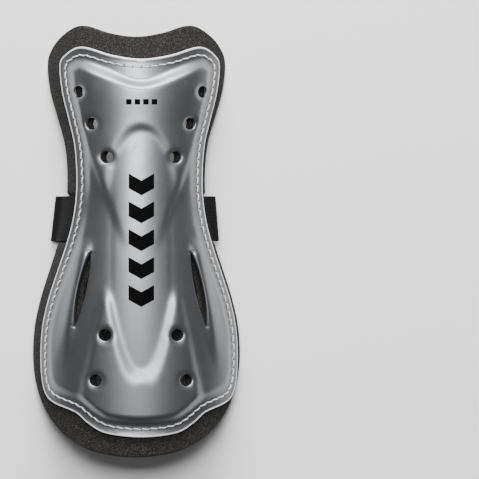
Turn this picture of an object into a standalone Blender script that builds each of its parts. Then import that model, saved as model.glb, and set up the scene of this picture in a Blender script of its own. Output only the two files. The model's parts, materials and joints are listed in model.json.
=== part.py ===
"""Shin guard: moulded shell sewn over a foam pad, with an elastic strap that closes behind the leg.

The guard lies face up. +Z points out of its front, +Y towards the ankle end and +X to the right.
Shell and pad are drawn flat, as (s, y, n): s is the distance round the leg from the middle line, y the
distance along the shin and n the height over the face where the shell sits on the pad. bend() then
wraps that flat form round the leg.
"""

import math

import bmesh
import bpy
import numpy as np
from mathutils import Vector

MM = 0.001

# Pad outline, seen from the front
PAD_LENGTH = 239.2 * MM
KNEE_HALF_WIDTH = 57.8 * MM
WAIST_HALF_WIDTH = 38.6 * MM
ANKLE_HALF_WIDTH = 49.7 * MM
KNEE_Y = -60.0 * MM
WAIST_LOW_Y = 30.0 * MM
WAIST_HIGH_Y = 41.0 * MM
ANKLE_Y = 97.0 * MM
KNEE_ROUNDING = 2.35
LOBE_X = 31.0 * MM
LOBE_SHOULDER_X = 41.7 * MM
LOBE_SHOULDER_DROP = 5.6 * MM
LOBE_CORNER = (-1.6 * MM, 8.5 * MM)
NOTCH_DEPTH = 6.3 * MM
NOTCH_SIDE = (0.5, 0.66)
KNEE_END_ANGLES = np.radians((0, 18, 34, 48, 60, 71, 81))
SIDE_STATIONS = 12

# How far the sides wrap round the leg, and how the front line bows along the shin
KNEE_EDGE_ANGLE = math.radians(70.0)
WAIST_EDGE_ANGLE = math.radians(66.0)
ANKLE_EDGE_ANGLE = math.radians(66.0)
LENGTH_BOW = 5.0 * MM

# Sheet thicknesses
PAD_THICKNESS = 4.0 * MM
SHELL_THICKNESS = 1.8 * MM
STRAP_THICKNESS = 1.6 * MM
GAP = 0.3 * MM

# Shell outline: how much pad shows past it. The shell is sewn off the pad's middle line, towards +X,
# which leaves the wider margin on the outer side of the leg
SHELL_OFFSET = 3.0 * MM
SIDE_MARGIN_KNEE = 3.1 * MM
SIDE_MARGIN_WAIST = 3.5 * MM
SIDE_MARGIN_ANKLE = 5.2 * MM
ANKLE_END_MARGIN = 11.8 * MM
KNEE_END_MARGIN = 11.1 * MM
TONGUE_HALF_WIDTH = 29.5 * MM
TONGUE_STEP = 13.5 * MM
TONGUE_TIP = (0.66, 2.2 * MM)
TONGUE_SIDE = 0.58
TONGUE_FOOT = 6.5 * MM
WING_CORNER = ((-7.0 * MM, 5.2 * MM), (-2.4 * MM, 10.5 * MM), (-0.4 * MM, 20.0 * MM))
SHELL_LOBE_CORNER = (-2.4 * MM, 6.0 * MM)
SHELL_LOBE_SPREAD = 2.0 * MM
SHELL_NOTCH_SIDE = (0.52, 0.75)
SHELL_NOTCH_EXTRA = 0.6 * MM

# Seam round the shell
SEAM_INSET = 4.5 * MM
THREAD_RADIUS = 0.3 * MM
THREAD_LIFT = 0.6 * MM

# Shell relief. Its places are as seen from the front, on a face at FEATURE_HEIGHT over the pad
FEATURE_HEIGHT = 4.5 * MM
FLANGE_WIDTH = SEAM_INSET + 1.5 * MM
BODY_RISE_SIDE = 1.4 * MM
BODY_RISE_ANKLE = 3.2 * MM
BODY_SLOPE_SIDE = 5.5 * MM
BODY_SLOPE_ANKLE = 7.0 * MM
ANKLE_BLEND = (60.0 * MM, 90.0 * MM)
ANKLE_SPREAD = (26.0 * MM, 46.0 * MM)
ANKLE_DIP = 5.0 * MM
ANKLE_DIP_HALF = 16.0 * MM
CHANNEL_HALF_WIDTH = 17.0 * MM
CHANNEL_ARCH_Y = 22.0 * MM
CHANNEL_ARCH_LENGTH = 38.5 * MM
CHANNEL_ARCH_WALL = 5.0 * MM
CHANNEL_ARCH_DEPTH = 1.3 * MM
CHANNEL_ARCH_BLEND = (15.0 * MM, 40.0 * MM)
CHANNEL_TAIL_Y = -23.0 * MM
CHANNEL_TAIL_LENGTH = 47.0 * MM
CHANNEL_TAIL_WALL_SIDE = 4.5 * MM
CHANNEL_TAIL_WALL_END = 9.0 * MM
CHANNEL_TAIL_DEPTH = 1.7 * MM
CHANNEL_TAIL_BLEND = 12.0 * MM
LEAST_GRADIENT = 1.0
DOME_SPREAD = 0.206
DOME_FALL = 7.0 * MM
CREASE_TOP = (31.0 * MM, 58.0 * MM)
CREASE_FOOT = (18.0 * MM, 24.0 * MM)
CREASE_DEPTH = 1.3 * MM
CREASE_WALL = (-4.0 * MM, 1.0 * MM)
CREASE_FADE_HIGH = (50.0 * MM, 74.0 * MM)
CREASE_FADE_LOW = (-10.0 * MM, 26.0 * MM)

# Vents and louvres
VENT_RADIUS = 3.2 * MM
VENT_DISH_RADIUS = 5.4 * MM
VENT_DISH_DEPTH = 0.8 * MM
VENTS = ((34.4 * MM, 82.7 * MM), (27.7 * MM, 65.0 * MM), (19.4 * MM, 46.4 * MM),
         (20.0 * MM, -51.9 * MM), (25.1 * MM, -76.9 * MM))
SLOT_TOP = (28.3 * MM, -5.9 * MM)
SLOT_FOOT = (37.0 * MM, -47.4 * MM)
SLOT_WIDTH = 3.6 * MM
SLOT_POINTEDNESS = 0.8
FIN_RISE = 2.4 * MM
FIN_WALL = (-1.0 * MM, 1.8 * MM)
FIN_BACK = 2.5 * MM
FIN_LEAD_BLEND = 3.0 * MM
FIN_FADE_START = 0.6
FIN_SPREAD = 11.0 * MM
FIN_LEAD = 9.0 * MM
FIN_TRAIL = 28.0 * MM
PAD_WINDOW_WIDTH = 3.0 * MM
PAD_WINDOW_LENGTH = 15.0 * MM

# Strap, tab and closure
STRAP_WIDTH = 25.0 * MM
STRAP_Y = 12.5 * MM
STRAP_SEWN_DEPTH = 14.0 * MM
STRAP_SIDE_GAP = 0.5 * MM
STRAP_FOLD_REACH = 1.2 * MM
STRAP_FOLD_GAP = 1.0 * MM
STRAP_FOLD_SLOPE = math.radians(30.0)
STRAP_STRETCH_END = -17.5 * MM
PEEL_X = -10.0 * MM
STRAP_TIP = 30.0 * MM
TAB_FOLD_REACH = 0.4 * MM
TAB_FOLD_DROP = 2.9 * MM
TAB_FOLD_GAP = 0.5 * MM
TAB_FOLD_SLOPE = math.radians(55.0)
TAB_LANDING_X = 29.0 * MM
TAB_EASING = 2.5 * MM
TAB_TIP = -4.0 * MM
PATCH_THICKNESS = 0.7 * MM
PATCH_WIDTH = 22.0 * MM
PILE_SPACE = 1.4 * MM
HOOK_PATCH = (-6.0 * MM, 27.0 * MM)
LOOP_PATCH = (-1.0 * MM, 27.0 * MM)
PATCH_SEAM_INSET = 1.6 * MM

# Fineness of the faceted solids, and how far blanks and cutters reach past what they cut
SHELL_CELL = 4.2 * MM
PAD_CELL = 7.0 * MM
OUTLINE_STEP = 3.6 * MM
BLANK_MARGIN = 4.0 * MM
CUTTER_REACH = 20.0 * MM
MERGE_DISTANCE = 0.02 * MM
SHARP_ANGLE = math.radians(35.0)


def ease(value, low, high):
    """Return 0 below low, 1 above high and a smooth step between them."""
    t = np.clip((np.asarray(value, dtype=float) - low) / (high - low), 0.0, 1.0)
    return t * t * (3.0 - 2.0 * t)


def along(y, knee, waist, ankle):
    """Blend a size from its knee value to its waist value and on to its ankle value."""
    up = 0.5 - 0.5 * np.cos(math.pi * np.clip((y - WAIST_HIGH_Y) / (ANKLE_Y - WAIST_HIGH_Y), 0, 1))
    down = 0.5 - 0.5 * np.cos(math.pi * np.clip((WAIST_LOW_Y - y) / (WAIST_LOW_Y - KNEE_Y), 0, 1))
    return waist + (ankle - waist) * up + (knee - waist) * down


def half_width(y):
    """Half-width of the pad between its knee and ankle stations, seen from the front."""
    return float(along(y, KNEE_HALF_WIDTH, WAIST_HALF_WIDTH, ANKLE_HALF_WIDTH))


def radius(y):
    """Radius of the guard's cross-section, where the shell meets the pad."""
    return along(
        y,
        KNEE_HALF_WIDTH / math.sin(KNEE_EDGE_ANGLE),
        WAIST_HALF_WIDTH / math.sin(WAIST_EDGE_ANGLE),
        ANKLE_HALF_WIDTH / math.sin(ANKLE_EDGE_ANGLE),
    )


def to_flat(x, y, height=0.0):
    """Distance round the leg of a point seen at x from the front, at a height over the pad."""
    r = radius(y)
    return r * np.arcsin(np.clip(x / (r + height), -1.0, 1.0))


def to_front(s, y, height):
    """Where a point at s round the leg and at a height over the pad is seen from the front."""
    r = radius(y)
    return (r + height) * np.sin(s / r)


def smooth_through(points, step):
    """Catmull-Rom curve through points, sampled about every step, level where it meets the middle line."""
    points = [np.array(p, dtype=float) for p in points]
    padded = [points[1] * (-1, 1), *points, points[-2] * (-1, 1)]
    curve = []
    for a, b, c, d in zip(padded, padded[1:], padded[2:], padded[3:]):
        count = max(1, round(float(np.linalg.norm(c - b)) / step))
        for i in range(count):
            t = i / count
            curve.append(0.5 * (2 * b + (c - a) * t + (2 * a - 5 * b + 4 * c - d) * t**2
                                + (3 * b - a - 3 * c + d) * t**3))
    curve.append(points[-1])
    return curve


def close_outline(half, height):
    """Flatten a right-hand half outline, from knee to ankle, and mirror it into a whole one.

    It is seen from the front at a height over the pad.
    """
    right = [(float(to_flat(x, y, height)), float(y)) for x, y in half]
    left = [(-s, y) for s, y in reversed(right[1:-1])]
    return np.array(right + left)


def side_points(margin_knee, margin_waist, margin_ankle):
    """Half-widths between the knee and ankle stations, less the margins."""
    points = []
    for y in np.linspace(KNEE_Y, ANKLE_Y, SIDE_STATIONS):
        margin = float(along(y, margin_knee, margin_waist, margin_ankle))
        points.append((half_width(y) - margin, float(y)))
    return points


def pad_outline():
    """Outline of the foam pad, flat."""
    knee_end = -PAD_LENGTH / 2
    ankle_end = PAD_LENGTH / 2
    drop = KNEE_Y - knee_end
    knee = []
    for angle in KNEE_END_ANGLES:
        x = KNEE_HALF_WIDTH * math.sin(angle) ** (2 / KNEE_ROUNDING)
        y = KNEE_Y - drop * math.cos(angle) ** (2 / KNEE_ROUNDING)
        knee.append((x, y))
    lobe = [
        (ANKLE_HALF_WIDTH + LOBE_CORNER[0], ANKLE_Y + LOBE_CORNER[1]),
        (LOBE_SHOULDER_X, ankle_end - LOBE_SHOULDER_DROP),
        (LOBE_X, ankle_end),
        (LOBE_X * NOTCH_SIDE[0], ankle_end - NOTCH_DEPTH * NOTCH_SIDE[1]),
        (0.0, ankle_end - NOTCH_DEPTH),
    ]
    return close_outline(smooth_through(knee + side_points(0, 0, 0) + lobe, OUTLINE_STEP), 0)


def shell_outline():
    """Outline of the shell, flat: a tongue at the knee end and two lobes at the ankle end."""
    knee_end = -PAD_LENGTH / 2 + KNEE_END_MARGIN
    ankle_end = PAD_LENGTH / 2 - ANKLE_END_MARGIN
    wing = KNEE_HALF_WIDTH - SIDE_MARGIN_KNEE
    knee = [
        (0.0, knee_end),
        (TONGUE_HALF_WIDTH * TONGUE_TIP[0], knee_end + TONGUE_TIP[1]),
        (TONGUE_HALF_WIDTH, knee_end + TONGUE_STEP * TONGUE_SIDE),
        (TONGUE_HALF_WIDTH + TONGUE_FOOT, knee_end + TONGUE_STEP),
    ]
    knee += [(wing + x, knee_end + TONGUE_STEP + y) for x, y in WING_CORNER]
    lobe = [
        (ANKLE_HALF_WIDTH - SIDE_MARGIN_ANKLE + SHELL_LOBE_CORNER[0], ANKLE_Y + SHELL_LOBE_CORNER[1]),
        (LOBE_X + SHELL_LOBE_SPREAD, ankle_end),
        (LOBE_X * SHELL_NOTCH_SIDE[0], ankle_end - NOTCH_DEPTH * SHELL_NOTCH_SIDE[1]),
        (0.0, ankle_end - NOTCH_DEPTH - SHELL_NOTCH_EXTRA),
    ]
    sides = side_points(SIDE_MARGIN_KNEE, SIDE_MARGIN_WAIST, SIDE_MARGIN_ANKLE)
    return close_outline(smooth_through(knee + sides + lobe, OUTLINE_STEP), GAP + SHELL_THICKNESS)


def seat_line():
    """Height and slope of the front line that stand both ends of the pad's edge on Z = 0."""
    outline = pad_outline()
    height, slope = 0.0, 0.0
    for _ in range(8):
        y = outline[:, 1]
        r = radius(y)
        low = height + slope * y - LENGTH_BOW * (2 * y / PAD_LENGTH) ** 2 - r
        low = low + (r - PAD_THICKNESS) * np.cos(outline[:, 0] / r)
        knee = int(np.argmin(np.where(y < 0, low, np.inf)))
        ankle = int(np.argmin(np.where(y > 0, low, np.inf)))
        turn = (low[knee] - low[ankle]) / (y[knee] - y[ankle])
        height -= low[knee] - turn * y[knee]
        slope -= turn
    return height, slope


SEAT_HEIGHT, SEAT_SLOPE = seat_line()
STRAP_LOW = STRAP_Y - STRAP_WIDTH / 2
STRAP_HIGH = STRAP_Y + STRAP_WIDTH / 2


def crown(y):
    """Height of the front line where the shell meets the pad."""
    return SEAT_HEIGHT + SEAT_SLOPE * y - LENGTH_BOW * (2 * y / PAD_LENGTH) ** 2


def bend(s, y, n):
    """Wrap a flat point round the leg."""
    r = radius(y)
    return Vector((float((r + n) * np.sin(s / r)), float(y), float(crown(y) - r + (r + n) * np.cos(s / r))))


def strap_exit():
    """Right-hand (x, z) of the strap's mid-thickness where it leaves the pad, on its wider side."""
    edge = bend(float(to_flat(half_width(STRAP_LOW), STRAP_LOW)), STRAP_LOW, -STRAP_THICKNESS / 2)
    return edge.x, edge.z


EXIT_X, EXIT_Z = strap_exit()
STRAP_FOLD_X = -EXIT_X - STRAP_FOLD_REACH
STRAP_FOLD_Z = STRAP_THICKNESS + STRAP_FOLD_GAP
TAB_FOLD_X = EXIT_X + TAB_FOLD_REACH
TAB_FOLD_Z = EXIT_Z - TAB_FOLD_DROP


def edge_distance(s, y, outline):
    """Distance of flat points inside an outline from its edge."""
    run = np.roll(outline, -1, axis=0) - outline
    best = np.full(np.shape(s), np.inf)
    for (a, b), (u, v) in zip(outline, run):
        t = np.clip(((s - a) * u + (y - b) * v) / (u * u + v * v), 0, 1)
        best = np.minimum(best, np.hypot(s - a - t * u, y - b - t * v))
    return best


def slot_line():
    """Middle, direction and length of the right-hand louvre slot."""
    middle = ((SLOT_TOP[0] + SLOT_FOOT[0]) / 2, (SLOT_TOP[1] + SLOT_FOOT[1]) / 2)
    length = math.dist(SLOT_TOP, SLOT_FOOT)
    return middle, ((SLOT_FOOT[0] - SLOT_TOP[0]) / length, (SLOT_FOOT[1] - SLOT_TOP[1]) / length), length


def wall_rise(level, gradient, width):
    """Smooth rise of 0 to 1 over a width, outwards from where a form's level is 0."""
    return ease(level / (np.maximum(gradient, LEAST_GRADIENT) * width), 0, 1)


def relief(s, y, outline):
    """Height of the shell's moulded form over its sewn flange."""
    x = np.abs(to_front(s, y, FEATURE_HEIGHT))
    ankle = ease(y, *ANKLE_BLEND)
    slope = BODY_SLOPE_SIDE + (BODY_SLOPE_ANKLE - BODY_SLOPE_SIDE) * ankle
    start = FLANGE_WIDTH + ANKLE_DIP * np.exp(-((x / ANKLE_DIP_HALF) ** 2)) * ankle
    lift = ease((edge_distance(s, y, outline) - start) / slope, 0, 1)
    height = BODY_RISE_SIDE + (BODY_RISE_ANKLE - BODY_RISE_SIDE) * ankle * (1 - ease(x, *ANKLE_SPREAD))

    up = np.maximum(y - CHANNEL_ARCH_Y, 0)
    arch = (x / CHANNEL_HALF_WIDTH) ** 2 + (up / CHANNEL_ARCH_LENGTH) ** 2 - 1
    gradient = np.hypot(2 * x / CHANNEL_HALF_WIDTH**2, 2 * up / CHANNEL_ARCH_LENGTH**2)
    rise = wall_rise(arch, gradient, CHANNEL_ARCH_WALL)
    height = height + CHANNEL_ARCH_DEPTH * rise * ease(y, *CHANNEL_ARCH_BLEND)

    down = np.maximum(CHANNEL_TAIL_Y - y, 0)
    tail = (x / CHANNEL_HALF_WIDTH) ** 2 + down / CHANNEL_TAIL_LENGTH - 1
    gradient = np.hypot(2 * x / CHANNEL_HALF_WIDTH**2, 1 / CHANNEL_TAIL_LENGTH)
    middle = np.clip(1 - x / CHANNEL_HALF_WIDTH, 0, 1)
    wall = CHANNEL_TAIL_WALL_SIDE + (CHANNEL_TAIL_WALL_END - CHANNEL_TAIL_WALL_SIDE) * middle
    dome = wall_rise(tail, gradient, wall) * ease(down, 0, CHANNEL_TAIL_BLEND)
    dome_edge = CHANNEL_HALF_WIDTH + DOME_SPREAD * down
    height += CHANNEL_TAIL_DEPTH * dome * (1 - ease(x - dome_edge, 0, DOME_FALL))

    run_x, run_y = CREASE_TOP[0] - CREASE_FOOT[0], CREASE_TOP[1] - CREASE_FOOT[1]
    inside = (run_x * (y - CREASE_FOOT[1]) - run_y * (x - CREASE_FOOT[0])) / math.hypot(run_x, run_y)
    fade = (1 - ease(y, *CREASE_FADE_HIGH)) * ease(y, *CREASE_FADE_LOW)
    height -= CREASE_DEPTH * (1 - ease(inside, *CREASE_WALL)) * fade

    _, (ux, uy), length = slot_line()
    t = (x - SLOT_TOP[0]) * ux + (y - SLOT_TOP[1]) * uy
    v = -(x - SLOT_TOP[0]) * uy + (y - SLOT_TOP[1]) * ux
    fin = ease(v, *FIN_WALL) * (1 - ease(v, FIN_BACK, FIN_SPREAD)) * ease(t, -FIN_LEAD, FIN_LEAD_BLEND)
    height += FIN_RISE * fin * (1 - ease(t, length * FIN_FADE_START, length + FIN_TRAIL))

    for vent_x, vent_y in VENTS:
        away = np.hypot(x - vent_x, y - vent_y)
        height -= VENT_DISH_DEPTH * (1 - ease(away, VENT_RADIUS, VENT_DISH_RADIUS))
    return np.maximum(height * lift, 0)


def material(name, colour, roughness, metallic=0.0):
    """Principled material of one sub-part."""
    made = bpy.data.materials.new(name)
    made.use_nodes = True
    shader = made.node_tree.nodes["Principled BSDF"]
    shader.inputs["Base Color"].default_value = (*colour, 1.0)
    shader.inputs["Roughness"].default_value = roughness
    shader.inputs["Metallic"].default_value = metallic
    return made


def add_object(name, mesh, finish=None):
    """Link a mesh or curve into the scene."""
    item = bpy.data.objects.new(name, mesh)
    bpy.context.scene.collection.objects.link(item)
    if finish:
        mesh.materials.append(finish)
    return item


def mesh_from(name, form):
    """Turn a bmesh into a mesh, with its faces pointing out."""
    bmesh.ops.recalc_face_normals(form, faces=form.faces[:])
    mesh = bpy.data.meshes.new(name)
    form.to_mesh(mesh)
    form.free()
    return mesh


def cells_over(low, high, cell):
    """How many cells of about one size fit a rectangle each way."""
    return round((high[0] - low[0]) / cell), round((high[1] - low[1]) / cell)


def flat_slab(low, high, cells, bottom, top):
    """Closed slab over a rectangle of (s, y), split into cells."""
    form = bmesh.new()
    bmesh.ops.create_grid(form, x_segments=cells[0], y_segments=cells[1], size=0.5)
    faces = bmesh.ops.extrude_face_region(form, geom=form.faces[:])["geom"]
    raised = {v for v in faces if isinstance(v, bmesh.types.BMVert)}
    for v in form.verts:
        v.co.x = low[0] + (v.co.x + 0.5) * (high[0] - low[0])
        v.co.y = low[1] + (v.co.y + 0.5) * (high[1] - low[1])
        v.co.z = top if v in raised else bottom
    return form


def prism(name, outline, low, high):
    """Cutter made from a flat outline."""
    form = bmesh.new()
    base = form.faces.new([form.verts.new((s, y, low)) for s, y in outline])
    sides = bmesh.ops.extrude_face_region(form, geom=[base])["geom"]
    for v in sides:
        if isinstance(v, bmesh.types.BMVert):
            v.co.z = high
    cutter = add_object(name, mesh_from(name, form))
    cutter.hide_render = True
    cutter.display_type = "WIRE"
    return cutter


def lens(centre, direction, length, width, count):
    """Pointed slot outline about a centre, as seen from the front."""
    points = []
    for side in (1, -1):
        for i in range(count):
            t = i / count
            reach = side * (0.5 - t) * length
            spread = side * 0.5 * width * math.sin(math.pi * t) ** SLOT_POINTEDNESS
            points.append((centre[0] + direction[0] * reach - direction[1] * spread,
                           centre[1] + direction[1] * reach + direction[0] * spread))
    return points


def both_sides(points):
    """A right-hand outline and its mirror image, flattened about the shell's middle line."""
    right = [(float(to_flat(x, y, FEATURE_HEIGHT)), y) for x, y in points]
    return [right, [(-s, y) for s, y in reversed(right)]]


def moved(outlines, distance):
    """Flat outlines moved round the leg."""
    return [[(s + distance, y) for s, y in outline] for outline in outlines]


def vent_outlines():
    """Round vents on both sides, flattened about their centres."""
    outlines = []
    for x, y in VENTS:
        s = float(to_flat(x, y, FEATURE_HEIGHT))
        for side in (1, -1):
            outlines.append([(side * s + VENT_RADIUS * math.cos(a), y + VENT_RADIUS * math.sin(a))
                             for a in np.linspace(0, math.tau, 16, endpoint=False)])
    return outlines


def cut_with(form, name, cutters):
    """Cut a solid with (operation, cutter) pairs and return it as triangles."""
    blank = add_object(name, mesh_from(name, form))
    for operation, cutter in cutters:
        cut = blank.modifiers.new(cutter.name, "BOOLEAN")
        cut.operation = operation
        cut.solver = "EXACT"
        cut.object = cutter
    bpy.context.view_layer.update()
    graph = bpy.context.evaluated_depsgraph_get()
    result = bmesh.new()
    result.from_mesh(blank.evaluated_get(graph).to_mesh())
    for item in [blank] + [cutter for _, cutter in cutters]:
        bpy.data.objects.remove(item)
    bmesh.ops.remove_doubles(result, verts=result.verts[:], dist=MERGE_DISTANCE)
    bmesh.ops.triangulate(result, faces=result.faces[:])
    return result


def cut_flat(form, name, outline, holes):
    """Trim a flat slab to its outline and cut its holes."""
    cutters = [("INTERSECT", prism(name + "_trim", outline, -CUTTER_REACH, CUTTER_REACH))]
    for number, hole in enumerate(holes):
        cutter = prism(f"{name}_hole_{number}", hole, -CUTTER_REACH * 1.1, CUTTER_REACH * 1.1)
        cutters.append(("DIFFERENCE", cutter))
    return cut_with(form, name, cutters)


def finish_bent(form, name, finish, offset=0.0):
    """Wrap a flat form round the leg, off the middle line by an offset, and shade it smooth."""
    for v in form.verts:
        v.co = bend(v.co.x + offset, v.co.y, v.co.z)
    mesh = mesh_from(name, form)
    mesh.shade_smooth()
    mesh.set_sharp_from_angle(angle=SHARP_ANGLE)
    return add_object(name, mesh, finish)


def make_shell(outline):
    """Moulded shell: one sheet with its relief, vents and louvre slots."""
    reach = outline.max(axis=0) + BLANK_MARGIN
    lowest = outline.min(axis=0) - BLANK_MARGIN
    form = flat_slab(lowest, reach, cells_over(lowest, reach, SHELL_CELL), GAP, GAP + SHELL_THICKNESS)
    verts = form.verts[:]
    places = np.array([v.co[:] for v in verts])
    lift = relief(places[:, 0], places[:, 1], outline)
    for v, rise in zip(verts, lift):
        v.co.z += float(rise)
    middle, direction, length = slot_line()
    holes = vent_outlines() + both_sides(lens(middle, direction, length, SLOT_WIDTH, 9))
    form = cut_flat(form, "shell", outline, holes)
    finish = material("silver_plastic", (0.52, 0.53, 0.55), 0.28, 0.35)
    return finish_bent(form, "shell", finish, SHELL_OFFSET)


def strap_recess(side):
    """Where the foam is pressed down under the sewn end of the strap, flat, on one side."""
    inner = float(to_flat(half_width(STRAP_Y), STRAP_Y)) - STRAP_SEWN_DEPTH - STRAP_SIDE_GAP
    outer = KNEE_HALF_WIDTH * 2
    low, high = STRAP_LOW - STRAP_SIDE_GAP, STRAP_HIGH + STRAP_SIDE_GAP
    corners = [(inner, low), (outer, low), (outer, high), (inner, high)]
    return corners if side > 0 else [(-s, y) for s, y in reversed(corners)]


def make_pad(outline):
    """Foam pad with the vents, the louvre windows and the two strap recesses."""
    reach = outline.max(axis=0) + BLANK_MARGIN
    lowest = outline.min(axis=0) - BLANK_MARGIN
    form = flat_slab(lowest, reach, cells_over(lowest, reach, PAD_CELL), -PAD_THICKNESS, 0.0)
    middle, direction, _ = slot_line()
    windows = both_sides(lens(middle, direction, PAD_WINDOW_LENGTH, PAD_WINDOW_WIDTH, 5))
    form = cut_flat(form, "pad_blank", outline, moved(vent_outlines() + windows, SHELL_OFFSET))
    recesses = [("DIFFERENCE", prism("pad_recess", strap_recess(side), -STRAP_THICKNESS - GAP, CUTTER_REACH))
                for side in (1, -1)]
    form = cut_with(form, "pad_blank", recesses)
    return finish_bent(form, "foam_pad", material("black_foam", (0.035, 0.035, 0.037), 0.9))


def inset(outline, distance):
    """Move an outline inwards."""
    ahead = np.roll(outline, -1, axis=0) - np.roll(outline, 1, axis=0)
    ahead /= np.linalg.norm(ahead, axis=1)[:, None]
    return outline + distance * np.column_stack((-ahead[:, 1], ahead[:, 0]))


def closed_thread(name, points, finish, parent=None):
    """Round thread along a closed run of points."""
    curve = bpy.data.curves.new(name, "CURVE")
    curve.dimensions = "3D"
    curve.bevel_depth = THREAD_RADIUS
    curve.bevel_resolution = 0
    spline = curve.splines.new("POLY")
    spline.points.add(len(points) - 1)
    for knot, place in zip(spline.points, points):
        knot.co = (*place, 1.0)
    spline.use_cyclic_u = True
    thread = add_object(name, curve, finish)
    thread.parent = parent
    return thread


def make_seam(outline):
    """Needle thread over the flange and bobbin thread on the leg side of the pad."""
    line = inset(outline, SEAM_INSET)
    front = GAP + SHELL_THICKNESS + THREAD_LIFT + THREAD_RADIUS + relief(line[:, 0], line[:, 1], outline)
    back = -PAD_THICKNESS - GAP - THREAD_RADIUS
    closed_thread("seam_needle_thread", [bend(s + SHELL_OFFSET, y, n) for (s, y), n in zip(line, front)],
                  material("white_thread", (0.86, 0.86, 0.85), 0.5))
    closed_thread("seam_bobbin_thread", [bend(s + SHELL_OFFSET, y, back) for s, y in line],
                  material("white_bobbin_thread", (0.8, 0.8, 0.79), 0.55))


def strap_finish(name):
    """Black elastic of a strap piece."""
    return material(name, (0.012, 0.012, 0.013), 0.75)


def sewn_stretch(name, side, fold_end, fold_slope):
    """Strap from under the shell's edge, over the pad and out to its fold.

    fold_end is the (x, z) of the middle of its thickness at the fold, for the right-hand side.
    """
    form = flat_slab((0, STRAP_LOW), (1, STRAP_HIGH), (14, 5), -0.5, 0.5)
    inner = float(to_flat(half_width(STRAP_Y), STRAP_Y)) - STRAP_SEWN_DEPTH
    half = -STRAP_THICKNESS / 2
    for v in form.verts:
        u, y, layer = v.co
        outer = float(to_flat(half_width(y), y))
        if u <= 0.5:
            place = bend(inner + (outer - inner) * u * 2, y, half + layer * STRAP_THICKNESS)
            v.co = (side * place.x, y, place.z)
            continue
        angle = outer / float(radius(y))
        start = bend(outer, y, half)
        span = math.dist((start.x, start.z), fold_end)
        out = Vector((math.cos(angle), -math.sin(angle)))
        away = Vector((math.cos(fold_slope), -math.sin(fold_slope)))
        knots = [Vector((start.x, start.z)), None, None, Vector(fold_end)]
        knots[1] = knots[0] + out * span / 3
        knots[2] = knots[3] - away * span / 3
        t = u * 2 - 1
        point = (knots[0] * (1 - t) ** 3 + knots[1] * 3 * t * (1 - t) ** 2
                 + knots[2] * 3 * t**2 * (1 - t) + knots[3] * t**3)
        along_path = ((knots[1] - knots[0]) * (1 - t) ** 2 + (knots[2] - knots[1]) * 2 * t * (1 - t)
                      + (knots[3] - knots[2]) * t**2).normalized()
        point += Vector((-along_path.y, along_path.x)) * layer * STRAP_THICKNESS
        v.co = (side * point.x, y, point.y)
    return add_object(name, mesh_from(name, form), strap_finish(name + "_elastic"))


def ribbon(name, path, thickness, width, finish, parent=None):
    """Flat strip along a path of (x, z) points, with its upper face on the path."""
    form = flat_slab((0, -width / 2), (len(path) - 1, width / 2), (len(path) - 1, 2), 0, 1)
    for v in form.verts:
        here = round(v.co.x)
        before = Vector(path[max(here - 1, 0)])
        after = Vector(path[min(here + 1, len(path) - 1)])
        heading = (after - before).normalized()
        normal = Vector((-heading.y, heading.x)) * (1 if heading.x > 0 else -1)
        point = Vector(path[here]) - normal * thickness * (1 - v.co.z)
        v.co = (point.x, v.co.y, point.y)
    strip = add_object(name, mesh_from(name, form), finish)
    strip.parent = parent
    return strip


def pivot(name, x, z, parent=None):
    """Empty on a joint axis, or where a sliding piece starts, at the strap's middle."""
    empty = bpy.data.objects.new(name, None)
    bpy.context.scene.collection.objects.link(empty)
    empty.location = (x, STRAP_Y, z)
    if parent:
        empty.parent = parent
        empty.location = (x - parent.location.x, 0, z - parent.location.z)
    return empty


def shifted(path, x, z):
    """A path seen from a pivot at (x, z)."""
    return [(a - x, b - z) for a, b in path]


def patch_seam(name, span, z, x0, z0, parent):
    """Rectangle of stitching that holds a closure patch."""
    low, high = span[0] + PATCH_SEAM_INSET - x0, span[1] - PATCH_SEAM_INSET - x0
    half = PATCH_WIDTH / 2 - PATCH_SEAM_INSET
    corners = [(low, -half), (high, -half), (high, half), (low, half)]
    points = []
    for (xa, ya), (xb, yb) in zip(corners, corners[1:] + corners[:1]):
        points += [(xa + (xb - xa) * t, ya + (yb - ya) * t, z - z0) for t in (0.03, 0.5, 0.97)]
    closed_thread(name, points, material(name + "_black", (0.02, 0.02, 0.02), 0.6), parent)


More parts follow.
